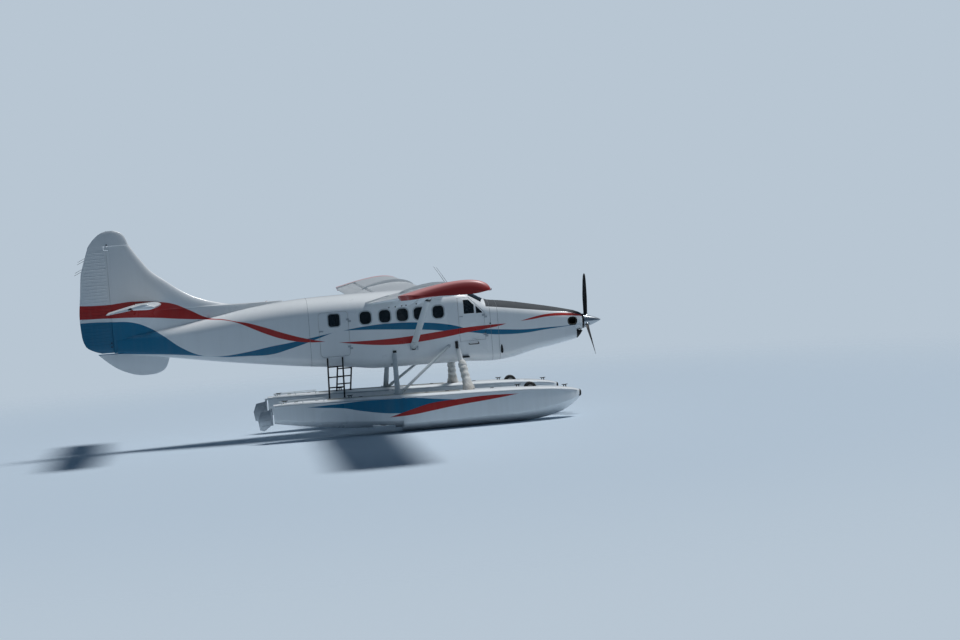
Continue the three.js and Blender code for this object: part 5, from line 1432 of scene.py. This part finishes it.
# Doors
# Two cockpit doors, a passenger door to starboard and a wide cargo door to port, each a panel of the cabin
# wall on two knuckle hinges at its front edge, with its window, seal and flush handle. The cockpit doors'
# window frames are painted white, the others are anodised.
pin_radius = 0.016


def knuckles(x, y, heights, moving):
    """Half of each hinge: the moving barrel stands over the fixed one."""
    sign = copysign(1, y)
    made = []
    for z in heights:
        low, high = (z + 0.00015, z + 0.045) if moving else (z - 0.045, z - 0.00015)
        made.append(tube([(x, y + sign * pin_radius, low), (x, y + sign * pin_radius, high)], pin_radius, 18))
        leaf_x = (x - 0.06, x - 0.006) if moving else (x + 0.004, x + 0.06)
        leaf_y = side_y(sum(leaf_x) / 2, z)
        made.append(box(*leaf_x, sign * (leaf_y - 0.004), sign * (abs(y) + pin_radius * 0.9), low, high))
    return made


def handle(x, z, sign):
    """A flush lever on its pivot."""
    y = side_y(x, z)
    lever = box(x - 0.075, x + 0.02, sign * (y + 0.006), sign * (y + 0.018), z - 0.011, z + 0.011)
    return [softened(lever, 0.005), tube([(x, sign * (y - 0.004), z), (x, sign * (y + 0.02), z)], 0.017, 20)]


cabin_light, cockpit_panel = [window_outline(door_window_x)], shrunk(cockpit_outline, 0.006)
# Columns: name, side, outline, openings, handle, hinge's x and y, heights of the knuckles, frame's finish
door_parts = (
    ("cabin_door_right", -1, rounded(-0.714, 0.004, 1.906, 2.984, 0.084), cabin_light,
     (-0.64, 2.53), (0.012, -0.8, (2.1, 2.76)), frame_grey),
    ("cargo_door_left", 1, rounded(-0.734, 0.204, 1.906, 2.984, 0.084), cabin_light,
     (-0.66, 2.50), (0.212, 0.8, (2.1, 2.76)), frame_grey),
    ("cockpit_door_right", -1, cockpit_panel, side_panes,
     (2.81, 2.62), (3.386, -0.643, (2.12, 2.59)), livery),
    ("cockpit_door_left", 1, cockpit_panel, side_panes,
     (2.81, 2.62), (3.386, 0.643, (2.12, 2.59)), livery),
)
for name, sign, outline, openings, grip, hinge, finish in door_parts:
    door = carve(copy_of(shell_blank), side_prism(outline, sign), "INTERSECT")
    for opening in openings:
        carve(door, side_prism(opening, sign))
    fitted(lined(door), f"{name}_skin", livery, [name], name)
    hardware = [*knuckles(*hinge, True), *handle(*grip, sign)]
    fitted(hardware, f"{name}_hardware", alloy, body=name)
    fitted(knuckles(*hinge, False), f"{name}_fixed_hinges", alloy)
    panes = [patch(grown(opening, pane_gap), sign, *pane_layer) for opening in openings]
    fitted(panes, f"{name}_window", acrylic, body=name)
    frames = [ring_patch(grown(opening, -0.012), sign, 0.026, *frame_layer) for opening in openings]
    fitted(frames, f"{name}_window_frame", finish, body=name)
    seals = [ring_patch(grown(opening, -0.021), sign, 0.010, *seal_layer) for opening in openings]
    fitted(seals, f"{name}_window_seal", rubber, body=name)

# Seats
# Six passenger seats in three rows and two for the pilots: welted foam pads in grey leathercloth on tube
# and sheet frames, bolted to two floor rails. The cloth's pebbles are drawn 4 mm across so that they show.
leathercloth, tree, shader, place = surface("grey_leathercloth", "#4f565e", 0.55, Sheen_Weight=0.15)
pebble = add(tree, "ShaderNodeTexVoronoi", place, named={"Scale": 260.0}).outputs["Distance"]
worn = patches(tree, place, 5.0, 3.0, 0.45, 0.7, 0.0, 0.4)
tie(shader, Base_Color=painted(tree, "#4f565e", [(worn, "#666c72")]),
    Normal=add(tree, "ShaderNodeBump", named={"Strength": 0.2, "Distance": 0.001, "Height": pebble}))


def pad(x0, x1, y0, y1, z0, z1, pinch=0.82, steps=12):
    """A crowned, soft-edged pad: full in the middle, drawn in along its welt."""
    grid = np.linspace(-1, 1, steps)
    size = np.array((x1 - x0, y1 - y0, z1 - z0)) / 2
    centre = np.array((x0 + x1, y0 + y1, z0 + z1)) / 2
    thin = int(np.argmin(size))
    wide = [k for k in range(3) if k != thin]
    points, faces = [], []
    for face in (-1, 1):
        for u in grid:
            for v in grid:
                edge = (1 - abs(u) ** 5) * (1 - abs(v) ** 5)
                spot = np.zeros(3)
                spot[wide[0]], spot[wide[1]] = u * (1 - 0.03 * v * v), v * (1 - 0.03 * u * u)
                spot[thin] = face * (0.25 + (pinch - 0.25 + 0.18 * (1 - u * u) * (1 - v * v)) * edge ** 0.4)
                points.append(centre + spot * size)
    n = steps
    for k in range(2):
        for i in range(n - 1):
            for j in range(n - 1):
                a = k * n * n + i * n + j
                faces.append((a, a + 1, a + n + 1, a + n))
    welt = [*range(n), *range(2 * n - 1, n * n, n), *range(n * n - 2, n * n - n - 1, -1),
            *range(n * n - 2 * n, 0, -n)]
    for a, b in zip(welt, welt[1:] + welt[:1]):
        faces.append((a, b, b + n * n, a + n * n))
    made = mesh_of(points, faces)
    smooth = made.modifiers.new("smooth", "SUBSURF")
    smooth.levels = smooth.render_levels = 1
    return baked(made)


cushion_z, back_lean = 2.23, -0.14


def seat(x, y):
    """Cushion, back and headrest pads, with the frame as a list of its own."""
    there, back_again = Matrix.Translation((x, y, cushion_z)), Matrix.Translation((-x, -y, -cushion_z))
    back = pad(x - 0.08, x + 0.01, y - 0.205, y + 0.205, 2.24, 2.62)
    head = pad(x - 0.075, x, y - 0.13, y + 0.13, 2.63, 2.755)
    for piece in (back, head):
        piece.data.transform(there @ Matrix.Rotation(back_lean, 4, "Y") @ back_again)
    bars = [tube([(x + u, y + v, 1.87), (x + u, y + v, 2.24)], 0.014, 10)
            for u in (0.05, 0.33) for v in (-0.14, 0.14)]
    bars += [tube([(x + 0.03, y + v, 2.0), (x + 0.35, y + v, 2.0)], 0.010, 8) for v in (-0.14, 0.14)]
    pan = softened(box(x - 0.01, x + 0.39, y - 0.19, y + 0.19, 2.225, 2.245), 0.008)
    return [pad(x - 0.02, x + 0.42, y - 0.21, y + 0.21, 2.24, 2.335), back, head], [*bars, pan]


# Columns: name, seat stations, y of the seats, ends of the floor rails
for name, xs, out, rail_ends in (("cabin_seats", (0.5, 1.15, 1.8), 0.48, (0.54, 2.14)),
                                 ("pilot_seats", (2.52,), 0.36, (2.5, 2.92))):
    made = [seat(x, s * out) for x in xs for s in (-1, 1)]
    cushions = [p for soft, _ in made for p in soft]
    pads = fitted(cushions, f"{name}_pads", leathercloth, [name])
    bars = []
    for y in [s * out + d for s in (-1, 1) for d in (-0.14, 0.125)]:
        bars.append(softened(box(*rail_ends, y, y + 0.015, floor_z + 0.0005, floor_z + 0.022), 0.003))
    bars += [p for _, parts in made for p in parts]
    fitted(bars, f"{name}_frames", alloy)

# Instrument panel
# A black crackle-finished board with round instruments under a padded hood, and a pedestal of levers between
# the pilots. The faces carry plain ticks only. The crackle is drawn 4 mm across so that it shows.
crackle, tree, shader, place = surface("black_crackle_enamel", "#1b1d20", 0.6)
grit = add(tree, "ShaderNodeTexNoise", place, named={"Scale": 220.0, "Detail": 3.0})
tie(shader, Normal=add(tree, "ShaderNodeBump", named={"Strength": 0.4, "Distance": 0.001, "Height": grit}))
# Black printed dials with pale ticks, under glass
dial_face, tree, shader, place = surface("dial_face", "#d9dcd8", 0.35)
ticks = patches(tree, place, 50.0, 2.0, 0.5, 0.62, 0.0, 0.85)
tie(shader, Base_Color=painted(tree, "#101214", [(ticks, "#c9ccc8")]))

panel_room = body_between(2.8, firewall - 0.02, 0.052)
board = carve(box(3.11, 3.18, -0.56, 0.56, 2.33, 2.74), panel_room, "INTERSECT", keep=True)
hood = carve(softened(box(3.08, 3.30, -0.47, 0.47, 2.74, 2.765), 0.01, 3), panel_room, "INTERSECT")
pedestal = softened(box(3.06, 3.489, -0.13, 0.13, 1.851, 2.40), 0.015, 3)
fitted([board, hood, pedestal], "panel_board", crackle, ["instrument_panel"])
panel_x, dial_radius, dial_step, dial_zs = 3.11, 0.041, 0.115, (2.64, 2.53)
bezel = [(dial_radius, 0.002), (0.052, 0.002), (0.052, -0.008), (0.045, -0.012), (dial_radius, -0.006)]
disc = [(0, -0.002), (dial_radius, -0.002), (dial_radius, 0.0005), (0, 0.0005)]
bezels, faces = [], []
for y0, count in ((-0.36, 3), (0.36, 3), (0.0, 2)):
    for i in range(count):
        for z in dial_zs:
            centre = (panel_x, y0 + (i - (count - 1) / 2) * dial_step, z)
            bezels.append(ring_lathe(bezel, centre, 28, "x"))
            faces.append(lathe(disc, centre, "x", 28))
levers = [tube([(3.12 + 0.02 * k, (k - 1) * 0.05, 2.39), (3.10 + 0.02 * k, (k - 1) * 0.05, 2.47)],
               [0.005, 0.012], 10) for k in range(3)]
yokes, yoke_x, yoke_z = [], 2.98, 2.44
for y in (-0.36, 0.36):
    wheel = [(yoke_x, y + 0.14 * sin(t), yoke_z + 0.11 * cos(t))
             for t in np.linspace(-2.4, 2.4, 25)]
    yokes.append(tube([(3.115, y, 2.42), (yoke_x, y, yoke_z)], 0.014, 12))
    yokes.append(tube(wheel, 0.013, 10))
    yokes.append(tube([(yoke_x, y - 0.094, 2.36), (yoke_x, y, yoke_z), (yoke_x, y + 0.094, 2.36)], 0.010, 8))
fitted([*bezels, *levers, *yokes], "panel_bezels_and_controls", black)
fitted(faces, "dial_faces", dial_face)

# Outside fittings
# The small things fixed to the skins: whip aerials and lamps, static wicks and pins on the rudder, grab
# handles, cowl vents, cabin steps, tie-down and strut fittings, and low rails on the afterdecks.


def whip(foot, tip, radius=0.006, steps=8):
    path = [between(foot, tip, t) + np.array((-0.02 * t * t, 0, 0)) for t in np.linspace(0, 1, steps)]
    base = [between(foot, tip, -0.02), between(foot, tip, 0.06)]
    return [tube(path, np.linspace(radius, 0.0025, steps), 8), tube(base, [0.018, 0.010], 12)]


aerials = [*whip((2.65, 0.10, 3.34), (2.33, 0.10, 3.89)), *whip((2.67, -0.12, 3.34), (2.37, -0.12, 3.87))]
fitted(aerials, "aerials", black)

wicks = []
for z in (4.75, 4.69, 4.49, 4.43):
    x = rudder_tail(z)
    wicks.append(tube([(x + 0.01, 0, z), (x, 0, z), (x - 0.17, 0, z - 0.08)], 0.0045, 6))
pins_at = ((-5.65, 5.032, 0.062), (-5.712, 2.65, 0.047), (-5.716, 2.555, 0.047))
pins = [tube([(x, -wide, z), (x, wide, z)], 0.017, 14) for x, z, wide in pins_at]
fitted([*wicks, *pins], "rudder_wicks_and_pins", black, body="rudder")

# Moulded lamp lenses, ruby and clear, with ribs 5 mm apart
lenses = []
for name, colour, haze, clearness in (("ruby_lens", "#a01a18", 0.08, 0.5),
                                      ("clear_lens", "#dfe6e8", 0.06, 0.6)):
    lens, tree, shader, place = surface(name, colour, haze, Transmission_Weight=clearness, IOR=1.49)
    ribs = add(tree, "ShaderNodeTexWave", place, named={"Scale": 60.0}, bands_direction="Z").outputs["Fac"]
    relief = {"Strength": 0.2, "Distance": 0.001, "Height": ribs}
    tie(shader, Normal=add(tree, "ShaderNodeBump", named=relief))
    lenses.append(lens)


def dome(centre, radius, long, along):
    """A streamlined lamp lens, flat on its base."""
    profile = [(0, -0.01), (radius, -0.01), (radius, 0)]
    profile += [(radius * cos(t), long * sin(t)) for t in np.linspace(0.15, 1.5, 8)] + [(0, long)]
    return lathe(profile, centre, along, 24)


beacon_x, lamp_y = -1.9, 8.60
beacon = dome((beacon_x, 0, section_at(beacon_x)[2] - 0.002), 0.05, 0.09, "z")
fitted(beacon, "roof_beacon", lenses[0])
lamps = [tube([(x, sign * lamp_y, chord_z(lamp_y) + 0.012) for x in (2.33, 2.38, 2.395)],
              [0.03, 0.026, 0.010], 20) for sign in (-1, 1)]
fitted(lamps, "wing_tip_lamps", lenses[1])

metal_bits, dark_bits = [], []
# Columns: list, where the skin is measured, stations, heights, depth under the skin, reach over it, softening
blocks = ((metal_bits, (1.54, 1.92), (1.47, 1.67), (1.90, 2.0), 0.01, 0.03, 0.008),
          (metal_bits, (1.02, 1.60), (0.97, 1.09), (1.56, 1.62), 0.03, 0.03, 0.008),
          (dark_bits, (2.80, 1.65), (2.70, 2.92), (1.605, 1.64), 0.03, 0.07, 0.008),
          (dark_bits, (2.62, 1.94), (2.582, 2.658), (1.85, 2.03), 0.03, 0.024, 0.01),
          (dark_bits, (1.08, 1.90), (1.034, 1.126), (1.87, 1.93), 0.03, 0.024, 0.01))
for sign in (-1, 1):
    for bits, spot, xs, zs, depth, reach, soft in blocks:
        y = side_y(*spot)
        bits.append(softened(box(*xs, sign * (y - depth), sign * (y + reach), *zs), soft))
    y = side_y(3.06, 2.0) + 0.003
    arch = [(3.06 + 0.085 * cos(t), sign * y, 1.99 + 0.07 * sin(t))
            for t in np.linspace(0, pi, 12)]
    metal_bits.append(tube(arch, 0.004, 6))
    y = side_y(3.06, 1.93)
    step = [(2.94, -0.02, 1.96), (2.94, 0.06, 1.93), (2.96, 0.075, 1.925), (3.16, 0.075, 1.925),
            (3.18, 0.06, 1.93), (3.18, -0.04, 1.96)]
    dark_bits.append(tube([(x, sign * (y + off), z) for x, off, z in step], 0.012, 10))
    y = side_y(3.77, 1.74)
    drop = [(3.77 + 0.032 * sin(t), 1.68 + (0.05 if cos(t) < 0 else 0.17) * cos(t))
            for t in full_turn(24)]
    dark_bits.append(softened(prism(drop, *sorted((sign * (y - 0.06), sign * (y + 0.012)))), 0.004, 1))
    x, z = 3.519, 2.391
    y = side_y(x, z)
    dark_bits.append(tube([(x, sign * (y - 0.01), z), (x, sign * (y + 0.022), z)], 0.018, 16))
fitted(metal_bits, "cabin_fittings", alloy)
fitted(dark_bits, "cabin_steps_and_vents", black)

# Low rails on the afterdecks, on three posts each
rail_share, rail_high = 0.8, 0.055
for side in ("left", "right"):
    rails = []
    for inner in (-rail_share, rail_share):
        path = [(x, float_y + inner * beam_at(x), deck_at(x, rail_share) + rail_high)
                for x in np.linspace(-1.85, -0.75, 12)]
        rails.append(tube(path, 0.010, 8))
        for x in (-1.8, -1.3, -0.8):
            y, z = float_y + inner * beam_at(x), deck_at(x, rail_share)
            rails.append(tube([(x, y, z - 0.02), (x, y, z + rail_high)], 0.008, 8))
    fitted(on_side(gathered(rails), side), f"deck_rails_{side}", strut_enamel)

# Rivets and panel seams
# Rows of round-headed rivets on the frames, spars and float chines, and sealed laps between the sheets. The
# heads are drawn 9 mm across and 60 to 90 mm apart, coarser than the real ones, so that they show.


def group(name, **inputs):
    """A geometry tree with its named inputs, each with its kind."""
    tree = bpy.data.node_groups.new(name, "GeometryNodeTree")
    tree.interface.new_socket("Geometry", in_out="INPUT", socket_type="NodeSocketGeometry")
    for label, kind in inputs.items():
        tree.interface.new_socket(label, in_out="INPUT", socket_type=f"NodeSocket{kind}")
    tree.interface.new_socket("Geometry", in_out="OUTPUT", socket_type="NodeSocketGeometry")
    return tree, tree.nodes.new("NodeGroupInput")


def grown_on(name, paths, tree, values, closed=False):
    """Runs a geometry tree over a set of paths and keeps the result as a plain mesh."""
    curve = bpy.data.curves.new(name, "CURVE")
    curve.dimensions = "3D"
    for path in paths:
        spline = curve.splines.new("POLY")
        spline.points.add(len(path) - 1)
        spline.use_cyclic_u = closed
        for point, spot in zip(spline.points, path):
            point.co = (*spot, 1)
    source = bpy.data.objects.new(name, curve)
    scene.collection.objects.link(source)
    change = source.modifiers.new("grown", "NODES")
    change.node_group = tree
    for socket in tree.interface.items_tree:
        if socket.in_out == "INPUT" and socket.name in values:
            change[socket.identifier] = values[socket.name]
    graph = bpy.context.evaluated_depsgraph_get()
    mesh = bpy.data.meshes.new_from_object(source.evaluated_get(graph), depsgraph=graph)
    bpy.data.objects.remove(source)
    made = bpy.data.objects.new(name, mesh)
    scene.collection.objects.link(made)
    return fitted(made, name, values["Finish"])


def ended(tree, given, shape):
    """Ends a tree: its instances made real, in the finish that it is given."""
    real = add(tree, "GeometryNodeRealizeInstances", shape)
    named = {"Geometry": real, "Material": given.outputs["Finish"]}
    add(tree, "NodeGroupOutput", add(tree, "GeometryNodeSetMaterial", named=named))


rivet_tree, given = group("rivet_row", Spacing="Float", Head="Float", Finish="Material")
spaced = add(rivet_tree, "GeometryNodeResampleCurve", mode="LENGTH",
             named={"Curve": given.outputs["Geometry"], "Length": given.outputs["Spacing"]})
head = add(rivet_tree, "GeometryNodeMeshIcoSphere", given.outputs["Head"], 1).outputs["Mesh"]
heads = add(rivet_tree, "GeometryNodeInstanceOnPoints", named={"Points": spaced, "Instance": head})
ended(rivet_tree, given, heads)

seam_tree, given = group("sealed_seam", Width="Float", Finish="Material")
bead = add(seam_tree, "GeometryNodeCurvePrimitiveCircle",
           named={"Resolution": 6, "Radius": given.outputs["Width"]})
sealed = {"Curve": given.outputs["Geometry"], "Profile Curve": bead.outputs["Curve"], "Fill Caps": True}
ended(seam_tree, given, add(seam_tree, "GeometryNodeCurveToMesh", named=sealed))

# Sealant, a dull mid grey that gathers dust in patches of 80 mm
sealant, tree, shader, place = surface("grey_sealant", "#7e878c", 0.7)
dust = patches(tree, place, 12.0, 4.0, 0.4, 0.7, 0.0, 0.5)
tie(shader, Base_Color=painted(tree, "#7e878c", [(dust, "#9a9c99")]))


def hoop(x):
    """A path round the body at a station."""
    return [tuple(p) for p in body_ring(x, *section_at(x))]


def along_side(x0, x1, z_at, step=0.1):
    """Paths along both sides of the body, at a height for each station."""
    xs = np.linspace(x0, x1, max(2, round((x1 - x0) / step)))
    return [[(x, sign * side_y(x, z_at(x)), z_at(x)) for x in xs] for sign in (-1, 1)]


frames_at = (-5.1, -4.5, -3.9, -3.3, -2.7, -2.19, -1.6, 0.667, 1.122, 1.55, 1.99, 2.55, 3.62, 4.3, 5.0)
head_radius, wing_head = 0.0045, 0.0042
grown_on("body_frame_rivets", [hoop(x) for x in frames_at], rivet_tree,
         {"Spacing": 0.07, "Head": head_radius, "Finish": livery}, closed=True)
stringers = [*along_side(-5.3, -0.98, lambda x: section_at(x)[1] + section_at(x)[3] + 0.08),
             *along_side(-5.0, -0.98, lambda x: section_at(x)[2] - section_at(x)[5] - 0.03),
             *along_side(0.25, 2.66, lambda x: 2.52),
             *along_side(3.56, 5.7, lambda x: section_at(x)[1] + section_at(x)[3] + 0.04)]
grown_on("body_stringer_rivets", stringers, rivet_tree,
         {"Spacing": 0.08, "Head": head_radius, "Finish": livery})
grown_on("body_seams", [hoop(x) for x in (cabin_rear, firewall, 3.72)], seam_tree,
         {"Width": 0.0035, "Finish": sealant}, closed=True)


def wing_under(x, y):
    return chord_z(y) - 2 * half_thickness((leading_x - x) / chord) * wing_drop


for side, sign in (("left", 1), ("right", -1)):
    rows = [[(x, sign * y, surface_z(x, y)) for y in np.linspace(0.86, tip_y - 0.02, 40)]
            for x in (2.0, 1.55, 1.04) for surface_z in (wing_top, wing_under)]
    rows += [[(x, sign * y, surface_z(x, y)) for x in np.linspace(2.34, 1.03, 24)]
             for y in np.arange(1.35, 8.2, 0.76) for surface_z in (wing_top, wing_under)]
    grown_on(f"wing_rivets_{side}", rows, rivet_tree,
             {"Spacing": 0.09, "Head": wing_head, "Finish": wing_enamel})
    rows = []
    for table, (x0, x1) in ((fore_rows, (1.12, 5.3)), (after_rows, (-1.9, 1.0))):
        xs = np.linspace(x0, x1, 40)
        for inner in (-1, 1):
            half, chine = (np.interp(xs, table[:, 0], table[:, k]) for k in (1, 3))
            rows.append([(x, sign * (float_y + inner * h), c + 0.02) for x, h, c in zip(xs, half, chine)])
    grown_on(f"float_rivets_{side}", rows, rivet_tree,
             {"Spacing": 0.06, "Head": head_radius, "Finish": float_enamel})

for leftover in (shell_blank, body_block, wing_block, hull_block, other_hull, wing):
    bpy.data.objects.remove(leftover)
